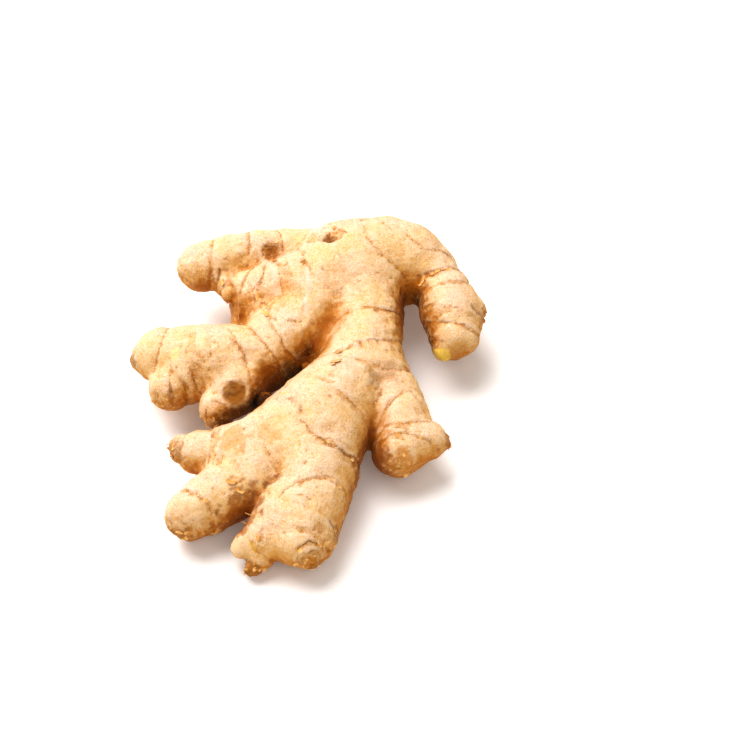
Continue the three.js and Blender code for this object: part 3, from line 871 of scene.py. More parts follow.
# %% [markdown]
# ## Buds, scars and torn places
# A bud or the scar of an old shoot is a round eye: rings of tiny scales round a middle, inside a raised
# rim. Each eye is a place, a radius and a depth, with fine rings that a random field pulls out of round.
# At the tips the dry outer skin is torn and crumpled, so a rougher field lifts and sinks it there.

# %% Eyes
# An eye is (place, radius, sunk by, how marked its rings are, their distance, height of its rim).
EYES = {
    "heel_scar": ((-48.4, -29.4, 23.4), 5.4, 0.8, 0.30, 1.3, 0.5),
    "end_bud": ((-21.8, -94.4, 13.0), 5.0, -0.3, 0.42, 1.7, 0.25),
    "arm_tip": ((-85, -11, 20), 4.0, 0.2, 0.25, 1.4, 0.2),
    "thumb_cap": ((8.5, -54.5, 16.5), 6.0, 0.1, 0.25, 1.9, 0.15),
    "thumb_side": ((26.0, -43.6, 14.0), 3.5, 0.2, 0.25, 1.3, 0.25),
    "toe_cap": ((-65.5, -81.0, 12), 7.5, 0.2, 0.25, 2.2, 0.15),
    "toe_point": ((-69.3, -49.8, 16), 3.2, 0.2, 0.3, 1.2, 0.25),
    "finger_bud": ((38.6, 10.8, 21), 3.6, 0.2, 0.2, 1.4, 0.15),
    "brown_bud": ((-37.4, 32.5, 30.0), 4.6, 0.6, 0.35, 1.3, 0.3),
    "back_ball": ((-51.8, 16.8, 24), 3.4, -0.1, 0.15, 1.2, 0.0),
    "back_tip": ((-70.5, 31.0, 22), 4.5, 0.2, 0.3, 1.6, 0.15),
    "arm_low": ((-73.5, -27.0, 17), 5.5, 0.2, 0.2, 1.7, 0.1),
    "rear_eye": ((-19.5, 57.8, 13.5), 3.8, 0.1, 0.35, 1.3, 0.2),
}
RIM_PLACE, RIM_WIDTH = 0.85, 0.8
OUT_OF_ROUND = 0.16
RING_JITTER = 0.55
RINGS_REACH = 1.35
eye_share = np.zeros(len(points))
eye_rings = np.zeros(len(points))
eye_rim = np.zeros(len(points))
for number, (place, radius, depth, marked, pitch, rim_height) in enumerate(EYES.values()):
    away = np.linalg.norm(points - np.array(place), axis=1)
    warped = away * (1 + OUT_OF_ROUND * random_field(points, 4.0, 400 + number))
    inside = np.clip(1 - (warped / radius) ** 2, 0, 1)
    share = np.clip(RINGS_REACH - warped / radius, 0, 1)
    turns = warped / pitch + RING_JITTER * random_field(points, 1.9, 430 + number)
    broken = patchy(points, 1.5, 450 + number, 0.45, 0.9, 0, 1.2)
    ripple = share * broken * np.cos(2 * math.pi * turns)
    rim = bell(warped - RIM_PLACE * radius, RIM_WIDTH) * patchy(points, 3.0, 470 + number, 0.8, 1, 0.2, 1.4)
    sink += depth * inside**2 + marked * ripple - rim_height * rim
    eye_rim = np.maximum(eye_rim, 2 * rim_height * rim)
    eye_rings += ripple
    eye_share = np.maximum(eye_share, share)
print(len(EYES), "eyes")

# %% Ragged places: where the dry outer skin is torn, cracked and crumpled
# A ragged place is (place, radius, how rough).
RAGGED = {
    "broken_end": ((-46.5, 11, 20), 7.0, 0.6),
    "toe_point": ((-68.0, -50.0, 17), 8.0, 0.95),
    "toe_cap": ((-64.0, -81.0, 13), 10.0, 0.7),
    "stub": ((-41.0, -92.0, 5), 5.5, 1.2),
    "end_knot": ((-21.0, -93.0, 11), 7.0, 1.0),
    "end_shoulder": ((-14.5, -85.0, 14), 6.0, 0.5),
    "bud_edge": ((-38.0, -86.5, 14), 5.0, 0.6),
    "thumb_cap": ((9.0, -53.5, 17), 7.0, 0.4),
    "thumb_side": ((26.0, -43.6, 14.0), 6.0, 0.6),
    "arm_low": ((-73.0, -26.0, 18), 9.0, 0.6),
    "arm_tip": ((-85.0, -11.0, 20), 6.0, 0.6),
    "arm_wrinkles": ((-60.0, -18.0, 30), 8.0, 0.55),
    "scar_rim": ((-48.4, -29.4, 23.4), 8.0, 0.35),
    "back_tip": ((-68.0, 29.0, 22), 8.0, 0.5),
    "brown_bud": ((-37.4, 32.5, 30.0), 6.0, 0.7),
    "knob": ((-17.0, 36.0, 35.0), 8.0, 0.45),
    "crown_edge": ((-43.0, 14.0, 28.0), 8.0, 0.5),
    "finger_bud": ((38.0, 10.0, 21), 6.0, 0.5),
    "neck_fold": ((-2.0, 8.0, 30.0), 6.0, 0.3),
}
CRUMPLE = ((0.75, 2.1, 600), (0.75, 1.15, 601))
CRUMPLE_HEIGHT = 0.75
CRUMPLE_REACH = 1.15
crumple = layered(points, CRUMPLE)
crumpled = np.zeros(len(points))
for place, radius, rough in RAGGED.values():
    away = np.linalg.norm(points - np.array(place), axis=1)
    share = np.clip(CRUMPLE_REACH - away / radius, 0, 1)
    crumpled = np.maximum(crumpled, rough * smooth(share))
sink += CRUMPLE_HEIGHT * crumpled * crumple
print(len(RAGGED), "ragged places")

# %% [markdown]
# ## Pits
# Fine roots left pits with a low rim all over the skin. They are scattered by a seeded draw, each a little
# stretched its own way, so that no two look stamped.

# %% Pits scattered over the skin
PITS = 150
PIT_RADIUS = (0.4, 0.95)
PIT_DEPTH = (0.10, 0.34)
PIT_STRETCH = (0.6, 1.3)
PIT_RIM_PLACE, PIT_RIM_WIDTH, PIT_RIM_HEIGHT = 1.5, 0.5, 0.3
rng = np.random.default_rng(11)
pit = np.zeros(len(points))
for index in rng.choice(len(points), PITS, replace=False):
    radius = rng.uniform(*PIT_RADIUS)
    depth = rng.uniform(*PIT_DEPTH)
    away = np.linalg.norm((points - points[index]) * rng.uniform(*PIT_STRETCH, 3), axis=1)
    near = away < 3 * radius
    bowl = bell(away[near], radius)
    rim = bell(away[near] - PIT_RIM_PLACE * radius, PIT_RIM_WIDTH * radius)
    sink[near] += depth * bowl - PIT_RIM_HEIGHT * depth * rim
    pit[near] = np.maximum(pit[near], bowl)
print(PITS, "pits")

# %% [markdown]
# ## Fibres that follow the limbs
# Fine fibres and wrinkles run along each limb. White noise on the points is blurred many times, each time
# only along the edges that run the limb's way, which draws it out into streaks. Unlike a stretched
# texture, this has no seam where two limbs meet.

# %% Streaks
TINY = 1e-9
ALONG_WEIGHT = 4
ONLY_ALONG = 6
FIBRE_LIMIT = 2.5
way = spread(facts["way"], 3)
way -= (way * normals).sum(1)[:, None] * normals
way /= np.linalg.norm(way, axis=1, keepdims=True) + TINY
step = points[both_ways[:, 1]] - points[both_ways[:, 0]]
step /= np.linalg.norm(step, axis=1, keepdims=True) + TINY
aligned = np.abs((step * way[both_ways[:, 0]]).sum(1)) ** ONLY_ALONG


def drawn_out(rounds, seed, weights):
    """White noise that is blurred most along the edges that weigh most."""
    drawn = spread(np.random.default_rng(seed).normal(size=len(points)), rounds, weights)
    return drawn / drawn.std()


long_streaks = drawn_out(16, 21, ALONG_WEIGHT * aligned)
short_streaks = drawn_out(5, 22, ALONG_WEIGHT * aligned)
around = drawn_out(6, 23, ALONG_WEIGHT * (1 - aligned) ** 3)
fibre = np.clip(0.6 * long_streaks + 0.5 * short_streaks, -FIBRE_LIMIT, FIBRE_LIMIT)
print("streaks run along", round(float(aligned.mean()), 2), "of the edges")

# %% [markdown]
# ## All the relief together
# Broad swells, middle lumps, wrinkles across the limb, fibres along it and the torn end are added to what
# the lines, eyes and pits sink. Near the table it all fades out, so that the root still rests on its flats.

# %% All the relief together
BROAD = ((0.50, 8.5, 1), (0.30, 4.2, 2))
MIDDLE = ((0.20, 2.3, 3), (0.13, 1.3, 4))
TORN = ((0.3, 2.0, 8), (0.4, 1.1, 9))
WRINKLE_HEIGHT = 0.05
FIBRE_HEIGHT = 0.025
TORN_REACH = 2.5
TORN_RADIUS = 14
FADE_FROM, FADE_OVER = 0.3, 2.5
TABLE_REST = 0.02
rough_places = patchy(points, 11, 5, 0.5, 1.1, 0, 1)
uneven = 0.6 + 0.8 * rough_places
torn = np.clip(1 - np.abs((points - BROKEN_END["at"]) @ BROKEN_END["facing"]) / TORN_REACH, 0, 1)
torn *= np.linalg.norm(points - BROKEN_END["at"], axis=1) < TORN_RADIUS
sink += layered(points, BROAD) + layered(points, MIDDLE) * uneven
sink += WRINKLE_HEIGHT * around * patchy(points, 9, 6, 0.5, 1, 0, 1)
sink += torn * layered(points, TORN) - FIBRE_HEIGHT * fibre * uneven
above_table = np.clip((points[:, 2] - FADE_FROM) / FADE_OVER, 0, 1)
points = points - (sink * above_table)[:, None] * normals
points[:, 2] = np.maximum(points[:, 2], TABLE_REST)
put_points(ginger, points)
print("relief from", round(float(-sink.max()), 2), "to", round(float(-sink.min()), 2), "mm")

# %% [markdown]
# ## What the finish needs to know
# The colour follows the form: painted shade goes where a fold hides the skin from the light, edges are pale,
# most on the side that faces the light, and lines are darkest in their middle. How sheltered a point is
# comes from rays cast from the solid's points, and how hollow it is from how far its neighbours' mean lies
# outside it. Both are stored on the points as attributes.

# %% Shelter, from rays: how hidden each point is, for painted shade
RAYS = 40
RAY_REACH = 0.060
RAY_START = 0.0012
NEIGHBOURS = 3
NO_CLOSER = 0.0005
SHELTER_ROUNDS = 6
tree = BVHTree.FromPolygons(
    [tuple(v.co) for v in solid.data.vertices], [tuple(f.vertices) for f in solid.data.polygons]
)
seen_at = {}
for vertex in solid.data.vertices:
    seen_at.setdefault(tuple(round(value, 6) for value in vertex.co), []).append(vertex.index)
solid_normals = normals_of(solid)
golden = math.pi * (3 - math.sqrt(5))
directions = []
for ray in range(RAYS):
    height = math.sqrt(1 - (ray + 0.5) / RAYS)
    flat = math.sqrt(1 - height * height)
    directions.append((flat * math.cos(golden * ray), flat * math.sin(golden * ray), height))
shelter_at = KDTree(len(seen_at))
shelters = []
for number, (place, indices) in enumerate(seen_at.items()):
    normal = Vector(solid_normals[indices].mean(0)).normalized()
    side = normal.orthogonal().normalized()
    other = normal.cross(side)
    start = Vector(place) + RAY_START * normal
    rays = [x * side + y * other + z * normal for x, y, z in directions]
    hits = sum(tree.ray_cast(start, ray, RAY_REACH)[0] is not None for ray in rays)
    shelters.append(hits / RAYS)
    shelter_at.insert(place, number)
shelter_at.balance()
shelters = np.array(shelters)
shelter = np.zeros(len(points))
for index, place in enumerate((points + TO_FRAME) / MM):
    found = shelter_at.find_n(place, NEIGHBOURS)
    weights = [1 / (distance + NO_CLOSER) for _, _, distance in found]
    shelter[index] = sum(w * shelters[n] for w, (_, n, _) in zip(weights, found)) / sum(weights)
shelter = spread(shelter, SHELTER_ROUNDS)
print("shelter up to", round(float(shelter.max()), 2))

# %% Hollows and edges
HOLLOW_DEPTH, HOLLOW_ROUNDS = 0.10, 3
FOLD_DEPTH, FOLD_ROUNDS = 0.55, 25
MOST = 1.5
normals = normals_of(ginger)
small = ((spread(points, HOLLOW_ROUNDS) - points) * normals).sum(1)
large = ((spread(points, FOLD_ROUNDS) - points) * normals).sum(1)
hollow = np.clip(small / HOLLOW_DEPTH, -MOST, MOST)
fold = np.clip(large / FOLD_DEPTH, -MOST, MOST)
print("hollow:", round(float((hollow > 0.5).mean()), 2), "of the points")

# %% [markdown]
# ## Stains and painted shade
# Some patches have a colour of their own: the yellow tip of a fresh bud, dead brown stubs. Others are
# painted shade: dark brown in the crevice, the crotches and the cave, and on the flanks that face other
# limbs. Each is a ball of colour whose edge a random field makes ragged.

# %% Stains and painted shade: patches with a colour of their own
# A stain is (place, radius, colour, strength, how ragged its edge is).
STAINS_AND_SHADE = {
    "yellow_tip": ((23.4, -7.4, 17.8), 3.6, (255, 230, 136), 0.95, 0.25),
    "cream_bud": ((-44.3, -86.8, 9.5), 5.0, (252, 220, 178), 0.75, 0.3),
    "bud_seam": ((-40.6, -87.8, 12.4), 1.8, (238, 190, 62), 0.6, 1.0),
    "dead_stub": ((-41.3, -92.8, 4.0), 4.2, (122, 74, 20), 0.95, 0.5),
    "heel_scar": ((-48.4, -29.4, 22.6), 4.0, (168, 122, 62), 0.8, 0.6),
    "scar_middle": ((-47.8, -30.6, 22.2), 1.5, (118, 76, 30), 0.7, 0.6),
    "brown_bud": ((-37.0, 32.0, 29.5), 2.9, (170, 108, 40), 0.7, 1.1),
    # Painted shade in the cave under the knob's lip.
    "knob_hollow": ((-15.6, 33.2, 31.6), 4.6, (118, 64, 4), 0.85, 0.4),
    "end_bud": ((-21.6, -94.0, 11.8), 4.6, (220, 170, 110), 0.6, 0.7),
    "end_bud_low": ((-20.0, -94.5, 9.2), 2.6, (112, 70, 28), 0.7, 0.7),
    "toe_cap": ((-62.5, -80.0, 16.0), 7.0, (240, 206, 166), 0.6, 0.8),
    "toe_cap_low": ((-64, -81, 6), 6, (168, 116, 56), 0.6, 0.9),
    "thumb_cap": ((9.2, -53.4, 18.6), 3.2, (226, 156, 56), 0.6, 1.0),
    "thumb_side": ((25.8, -44.0, 13.0), 4.0, (190, 122, 52), 0.7, 0.6),
    "toe_point": ((-68.5, -50.6, 18), 4.2, (182, 136, 86), 0.6, 0.6),
    "arm_tip": ((-85.2, -11.5, 19.6), 3.6, (176, 120, 62), 0.7, 0.5),
    "arm_pale_tip": ((-87, -10.5, 19.5), 1.8, (250, 214, 150), 0.7, 0.4),
    "pale_crescent": ((-69.4, -16.5, 29.2), 2.6, (255, 228, 160), 0.6, 0.6),
    "neck_patch": ((4.1, -23.2, 28.4), 4.0, (196, 140, 78), 0.45, 0.9),
    "crotch_patch": ((-0.3, -26.7, 28.6), 3.0, (160, 118, 72), 0.5, 0.9),
    "end_pit": ((-38.1, -87.2, 16.6), 1.4, (206, 140, 60), 0.5, 0.9),
    "knob_face": ((-19.5, 39.0, 36.0), 3.6, (255, 238, 212), 0.8, 0.2),
    "finger_bud": ((37.8, 9.6, 21.5), 3.4, (206, 150, 88), 0.5, 0.6),
    "end_shoulder": ((-13.0, -84.0, 14.0), 3.0, (150, 106, 58), 0.5, 0.8),
    # Painted shade on the stem's side beside the finger.
    "neck_side": ((10.0, 7.0, 20.0), 9.0, (190, 118, 14), 0.65, 0.9),
    "back_ball": ((-52.0, 17.8, 24.0), 3.2, (250, 212, 158), 0.7, 0.4),
    # Painted shade down to arm_flank: flanks that face other limbs, crotches and the crevice.
    "toe_b_flank": ((-44.0, -72.5, 11.5), 11.0, (172, 104, 8), 0.75, 0.9),
    "toe_b_flank_low": ((-39.0, -69.0, 11.0), 8.5, (146, 82, 0), 0.8, 0.9),
    "toe_crotch": ((-33.5, -66.5, 17.0), 5.5, (120, 64, 0), 0.8, 0.8),
    "body_flank": ((-5.0, -53.0, 11.5), 10.0, (166, 98, 6), 0.8, 0.9),
    "body_flank_low": ((-9.0, -68.0, 8.0), 9.0, (180, 112, 20), 0.65, 0.9),
    "thumb_crotch": ((0.0, -41.0, 15.0), 6.0, (140, 78, 0), 0.75, 0.8),
    "neck_crotch": ((9.5, 12.0, 22.0), 6.0, (150, 84, 0), 0.75, 0.9),
    "crevice": ((-38.4, -29.5, 18.0), 5.0, (58, 28, 0), 0.95, 0.5),
    "crevice_end": ((-27.0, -24.0, 17.0), 5.0, (58, 28, 0), 0.9, 0.5),
    "arm_flank": ((-37.0, -24.0, 20.0), 7.0, (176, 104, 4), 0.6, 0.9),
    "toe_patch": ((-48.5, -52.5, 26.0), 5.5, (226, 160, 74), 0.5, 1.0),
    "shoulder_patch": ((-35.5, -51.0, 29.0), 4.5, (226, 160, 74), 0.4, 1.0),
    "crown_band": ((-33.0, 10.0, 32.0), 6.5, (224, 160, 80), 0.4, 1.0),
}
TORN_COLOUR = (216, 160, 88)
TORN_STRENGTH = 0.45
STAIN_EDGE = (-1.15, -0.75)
TORN_EDGE = (0.2, 0.8)


def smooth_share(value, low, high):
    return smooth(np.clip((value - low) / (high - low), 0, 1))


stain = np.zeros((len(points), 4))
fine_edge = 0.4 * random_field(points, 1.0, 540)
for number, (place, radius, colour, strength, raggedness) in enumerate(STAINS_AND_SHADE.values()):
    away = np.linalg.norm(points - np.array(place), axis=1) / radius
    edge = away + raggedness * (0.5 * random_field(points, 2.2, 500 + number) + fine_edge)
    share = strength * smooth_share(-edge, *STAIN_EDGE)
    over = share > stain[:, 3]
    stain[over, :3] = paint(*colour)[:3]
    stain[over, 3] = share[over]
ends = smooth_share(torn + 0.35 * random_field(points, 1.6, 560), *TORN_EDGE)
over = ends > stain[:, 3]
stain[over, :3] = paint(*TORN_COLOUR)[:3]
stain[over, 3] = TORN_STRENGTH * ends[over]
print(len(STAINS_AND_SHADE), "stains")

# %% Store the attributes
# The direction the lamp light comes from. How far the skin turns away from it drives painted shade, and how
# far it faces it drives painted light.
LIT_SIDE = np.array([-0.28, 0.14, 0.95])
RING_WIDTH = 0.36
RING_MIDDLE = 0.3
WIDEST = 6


def store(thing, name, values, kind="FLOAT"):
    attribute = thing.data.attributes.new(name, kind, "POINT")
    field = "color" if kind == "FLOAT_COLOR" else "value"
    attribute.data.foreach_set(field, values.astype(np.float32).ravel())


ring_gap = np.abs(facts["past"] - RING_MIDDLE) / RING_WIDTH
line_is_nearer = line_gap < ring_gap
KNOWN = {
    "line": np.clip(np.where(line_is_nearer, line_gap, ring_gap), 0, WIDEST),
    "line_mark": spread(np.where(line_is_nearer, line_mark, facts["mark"]), 1),
    "past_ring": np.clip(facts["past"], -WIDEST, WIDEST),
    "fibre": fibre,
    "shelter": shelter,
    "hollow": hollow,
    "fold": fold,
    "pit": pit,
    "ragged": crumpled,
    "crumple": crumple,
    "eye": eye_share,
    "eye_rings": eye_rings,
    "eye_rim": np.clip(eye_rim, 0, 1),
    "around": np.clip(around, -FIBRE_LIMIT, FIBRE_LIMIT),
    "turned_from_light": np.clip(0.5 - 0.5 * spread(normals, 8) @ LIT_SIDE, 0, 1),
}
for name, values in KNOWN.items():
    store(ginger, name, values)
store(ginger, "stain", stain, "FLOAT_COLOR")
select_only(ginger)
bpy.ops.object.shade_smooth()
print(len(KNOWN) + 1, "attributes")

# %% [markdown]
# ## The skin's finish
# Dry ginger skin is cream where it is rubbed and tan where the outer sheet still sits on it. It is matt,
# with a faint silky shine. The colour is laid in coats, from the broadest to the finest. Noises of many
# lengths make each coat patchy, and the attributes tell it where to go.

# %% Colours, noises and what the points know
SKIN = paint(245, 211, 152)
PALE = paint(253, 228, 208)
TAN = paint(230, 170, 74)
DULL_TAN = paint(216, 156, 60)
OCHRE = paint(194, 124, 4)
BROWN = paint(120, 68, 0)
UMBER = paint(50, 24, 0)
LINE_TAN = paint(192, 120, 28)
GREY_DUST = paint(190, 166, 138)
YELLOW_FLECK = paint(240, 196, 60)
WARM_SHADE_GLAZE = (1.0, 0.90, 0.50, 1.0)
dry = Finish("ginger_skin", SKIN, Specular_IOR_Level=0.25, Sheen_Weight=0.06, Sheen_Roughness=0.5)
place = dry.place()
slow = dry.grains(place, 15.0, detail=2)
blotch = dry.grains(place, 4.2, detail=6, rough=0.7)
dirt = dry.grains(place, 1.9, detail=6, rough=0.75)
grain = dry.grains(place, 1.1, detail=6, rough=0.85)
fine = dry.grains(place, 0.5, detail=3, rough=0.8)
micro = dry.grains(place, 0.45, detail=2, rough=0.7)
along_limb = dry.attribute("fibre")
across_limb = dry.attribute("around")
occlusion_shade = dry.attribute("shelter")
hollowed = dry.attribute("hollow")
folded = dry.attribute("fold")
turned_from_light = dry.attribute("turned_from_light")
mark = dry.attribute("line_mark")
past = dry.attribute("past_ring")
ragged = dry.attribute("ragged")
print("noises and attributes:", len(dry.tree.nodes), "nodes")

# %% [markdown]
# ### Broad coats, with painted light and shade
# The side that faces the light is painted pale, as painted light. Tan blotches cover the rest, and painted
# shade turns the skin ochre, brown and umber the further it is turned from the light or tucked into a fold.

# %% Broad coats, with painted light and shade
# Painted light: pale on the side that faces the lamp.
dry.coat((1 - turned_from_light.rise(0.02, 0.45)) * (0.4 * slow + 0.3 * dirt + 0.3 * grain).rise(0.36, 0.60), PALE)
# Tan blotches, plus painted shade on the side turned from the light.
tan_and_shade = (0.35 * blotch + 0.35 * dirt + 0.3 * grain + 0.10 * folded + 0.5 * turned_from_light).rise(0.50, 0.85, 0.80)
dry.coat(tan_and_shade, TAN)
# Painted shade: ochre, brown and umber where the skin turns from the light or lies occluded in a fold.
dry.coat((turned_from_light + 0.35 * (blotch - 0.5) + 0.3 * occlusion_shade).rise(0.34, 0.80, 0.75), OCHRE)
dry.coat((occlusion_shade + 0.25 * (dirt - 0.5) + 0.2 * (blotch - 0.5)).rise(0.08, 0.42, 0.92), OCHRE)
dry.coat((occlusion_shade + 0.2 * (dirt - 0.5)).rise(0.26, 0.56, 0.95), BROWN)
dry.coat((occlusion_shade + 0.2 * (grain - 0.5)).rise(0.42, 0.68, 0.95), UMBER)
dry.coat((turned_from_light + 0.3 * (dirt - 0.5)).rise(0.62, 1.0, 0.50), BROWN)
print("broad coats:", len(dry.tree.nodes), "nodes")

# %% [markdown]
# ### Wear, dirt, specks, and some painted light and shade
# On top come the marks of the ground and of handling: soiled patches past each ring, stronger where occluded
# as painted shade, streaks, pale worn edges kept off the side turned from the light as painted light, peeled
# spots, ochre in small hollows, grey smudges, the collar and band of each ring, and specks.

# %% Wear, dirt, specks, and some painted light and shade
near_ring = (1 - past.rise(0.4, 4.0)) * past.rise(-0.4, 0.2) * mark
# Soiled patches: dirt, with painted shade where the skin is occluded.
soil_and_shade = 0.6 * dirt + 0.4 * grain + 0.4 * (slow - 0.5) + 0.30 * near_ring + 0.3 * occlusion_shade + 0.05 * hollowed
dry.coat(soil_and_shade.rise(0.50, 0.86, 0.45), DULL_TAN)
dry.coat((0.25 * along_limb + 0.3 * across_limb + 3.0 * (grain - 0.5)).rise(0.25, 1.3, 0.38), TAN)
# Pale worn edges, mostly on the side that faces the light: wear and painted light.
dry.coat((0.0 - hollowed + 1.6 * (grain - 0.5)).rise(0.15, 1.2, 0.5) * (1 - 0.8 * turned_from_light), PALE)
dry.coat(micro.rise(0.52, 0.62, 0.5), TAN)
dry.coat((hollowed + 1.8 * (fine - 0.5)).rise(0.30, 1.4, 0.6), OCHRE)
smudge = (slow + 0.8 * (dirt - 0.5)).rise(0.60, 0.72, 0.18)
dry.coat(smudge * (1 - occlusion_shade.rise(0.1, 0.4)), GREY_DUST)
band = near_ring * (blotch + 0.5 * (grain - 0.5)).rise(0.38, 0.60)
dry.coat((band * 0.45).clamped(), OCHRE)
dry.coat((past.rise(-2.2, -0.8) * (1 - past.rise(-0.35, 0.05)) * mark * 0.7).clamped(), PALE)
chance = dry.add("SeparateColor", {0: dry.cells(place, 1.8, output="Color")})
speck = (1 - dry.cells(place, 1.8).rise(0.08, 0.22)) * chance.rise(0.74, 0.82) * dirt.rise(0.45, 0.60)
dry.coat(0.40 * speck, BROWN)
dry.coat(dry.attribute("pit") * (grain + 0.5 * (fine - 0.5)).rise(0.42, 0.6, 0.5), BROWN)
print("with wear and specks:", len(dry.tree.nodes), "nodes")

# %% [markdown]
# ### Lines
# A crack isn't a pen line. Its edge is tan and broken by the grain, its middle is darker only where it is
# deep, ochre dirt lies beside it, and yellow flecks of torn skin stand along it.

# %% Lines
line = dry.attribute("line") + 1.5 * (grain - 0.5) + 0.6 * (fine - 0.5)
dry.coat(((1 - line.rise(0.5, 1.3)) * (0.0 - mark)).clamped(), PALE)
crack = ((1 - line.rise(0.1, 1.15)) * mark).clamped()
dry.coat((crack * 0.75).clamped(), LINE_TAN)
beside = (1 - line.rise(0.8, 4.5)) * mark.clamped() * (blotch + 0.8 * (grain - 0.5)).rise(0.42, 0.64)
dry.coat((beside * 0.45).clamped(), OCHRE)
dry.coat(((1 - line.rise(0.0, 0.75)) * (mark - 0.75) * 0.9).clamped(), BROWN)
dry.coat(((1 - line.rise(0.0, 0.5)) * (mark - 1.0) * 1.2).clamped(), UMBER)
fleck = (1 - line.rise(0.9, 2.6)) * (mark + 0.3).clamped() * (0.6 * fine + 0.4 * grain).rise(0.56, 0.60)
dry.coat((fleck * 0.8).clamped(), YELLOW_FLECK)
print("with lines:", len(dry.tree.nodes), "nodes")

# %% [markdown]
# ### Eyes, stains, painted shade, torn places and dust
# Eyes have brown rings and a pale rim. Stains and patches of painted shade are laid next, then tan torn skin
# and fine wrinkles. Last come painted shade in the low points of the relief, a warm glaze of painted shade
# on all that is turned from the light or occluded, and a veil of pale dust that lies only on the side that
# faces the light, so partly painted light.

# %% Eyes, stains, painted shade, torn places and dust
dry.coat((dry.attribute("eye") * (blotch + 0.8 * (grain - 0.5)).rise(0.4, 0.7) * 0.4).clamped(), OCHRE)
dry.coat((dry.attribute("eye_rings") + 0.8 * (grain - 0.5)).rise(0.1, 0.7, 0.45), BROWN)
dry.coat(dry.attribute("eye_rim") * 0.6, PALE)
stain_and_shade_patch = (dry.attribute("stain", output="Alpha") * (0.72 + 1.1 * (grain - 0.25))).clamped()
dry.coat(stain_and_shade_patch, dry.attribute("stain", output="Color"))
dry.coat((ragged + 0.25 * dry.attribute("crumple") + 1.2 * (grain - 0.5)).rise(0.45, 0.95, 0.55), DULL_TAN)
warped = dry.add(
    "VectorMath", {0: place, 1: dry.grains(place, 2.4, detail=2, kind="Color")}, operation="ADD"
)
crease = 1 - dry.cells(warped, 1.5, feature="DISTANCE_TO_EDGE").rise(0.0, 0.22)
wrinkles = crease * (0.25 + 0.75 * ragged) * (blotch + 0.4 * (slow - 0.5)).rise(0.35, 0.6)
dry.coat((wrinkles * 0.5).clamped(), OCHRE)
height = 0.7 * grain + 0.5 * fine + 0.3 * micro + 0.3 * dirt
height = height - 0.16 * wrinkles + 0.03 * along_limb + 0.04 * across_limb
# Painted shade: ochre in the low points of the bump.
dry.coat((1 - height.rise(0.68, 0.92)) * 0.26, OCHRE)
dry.coat(height.rise(0.94, 1.12, 0.4), PALE)
# Painted shade: a warm multiply over what is turned from the light or occluded, and over tan blotches.
painted_shade_and_tan = 0.7 * turned_from_light + 1.2 * occlusion_shade + 0.4 * tan_and_shade + 0.5 * (blotch - 0.5)
dry.coat(painted_shade_and_tan.rise(0.12, 0.95, 0.85), WARM_SHADE_GLAZE, "MULTIPLY")
# Pale dust, kept to the side that faces the light and out of folds: dust and painted light.
dust_on_lit_side = (1 - turned_from_light.rise(0.2, 0.7)) * (1 - occlusion_shade.rise(0.05, 0.35)) * (1 - 0.75 * stain_and_shade_patch)
dry.coat((1 - micro.rise(0.38, 0.48)) * 0.55 * dust_on_lit_side, PALE)
print("all coats:", len(dry.tree.nodes), "nodes")

# %% Shine and bumps
BUMP_STRENGTH = 0.9
BUMP_DISTANCE = 0.0006
dry.into("Base Color", dry.colour)
dry.into("Roughness", (0.62 + 0.25 * (grain - 0.5) + 0.1 * hollowed).clamped())
bumps = height - 0.4 * crack - 0.25 * speck
sockets = {"Height": bumps, "Strength": BUMP_STRENGTH, "Distance": BUMP_DISTANCE}
dry.into("Normal", dry.add("Bump", sockets))
ginger.data.materials.append(dry.material)
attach(ginger, "root")
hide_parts("rhizome")
print("skin has", len(dry.tree.nodes), "nodes")

# %% [markdown]
# ## Flakes and rootlets
# Where the dry outer skin has torn, thin flakes stand up: along the rings, and thickest at the ends of the
# limbs. A flake is modelled once, as a small curled sheet with a torn edge, and given its thickness. A few
# shaken versions of it are copied to their places, each turned so that its root lies in the skin.

# %% One flake, and three torn versions of it
# A row of the grid is (everything past this y, lifted by, narrowed to), so that the flake curls and tapers.
FLAKE_ROWS = ((-0.2, 0.10, 0.92), (0.05, 0.16, 0.85), (0.3, 0.22, 0.7))
FLAKE_ROOT = -0.4
FLAKE_SEEDS = (3, 8, 15)
TEAR = 0.16
FLAKE_THICKNESS = 0.16


def select_beyond(thing, beyond):
    """Selects the points of a flake that lie past a place along it, and stays in edit mode."""
    bpy.ops.object.mode_set(mode="EDIT")
    bpy.ops.mesh.select_mode(type="VERT")
    bpy.ops.mesh.select_all(action="DESELECT")
    bpy.ops.object.mode_set(mode="OBJECT")
    for vertex in thing.data.vertices:
        vertex.select = vertex.co.y > beyond
    bpy.ops.object.mode_set(mode="EDIT")


def model_flake(seed):
    bpy.ops.object.select_all(action="DESELECT")
    bpy.ops.mesh.primitive_grid_add(x_subdivisions=3, y_subdivisions=4, size=1)
    flake = bpy.context.object
    flake.name = "flake"
    for beyond, lift, narrower in FLAKE_ROWS:
        select_beyond(flake, beyond)
        bpy.ops.transform.translate(value=(0, 0, lift))
        bpy.ops.transform.resize(value=(narrower, 1, 1), center_override=(0, 0, 0))
    select_beyond(flake, FLAKE_ROOT)
    bpy.ops.transform.vertex_random(offset=TEAR, seed=seed)
    bpy.ops.object.mode_set(mode="OBJECT")
    apply_modifier(flake, "SOLIDIFY", thickness=FLAKE_THICKNESS, offset=0)
    along = np.array([vertex.co.y + 0.5 for vertex in flake.data.vertices])
    store(flake, "along", np.clip(along, 0, 1))
    return flake


flakes = [model_flake(seed) for seed in FLAKE_SEEDS]
print("a flake has", len(flakes[0].data.polygons), "faces")

# %% [markdown]
# ## Where flakes stand
# Flakes are drawn at random along the lines that are torn, and round the ragged tips. The lone curls that
# can be told apart in the photograph are placed one by one. Each is dropped onto the nearest point of the
# skin and turned flat to it.

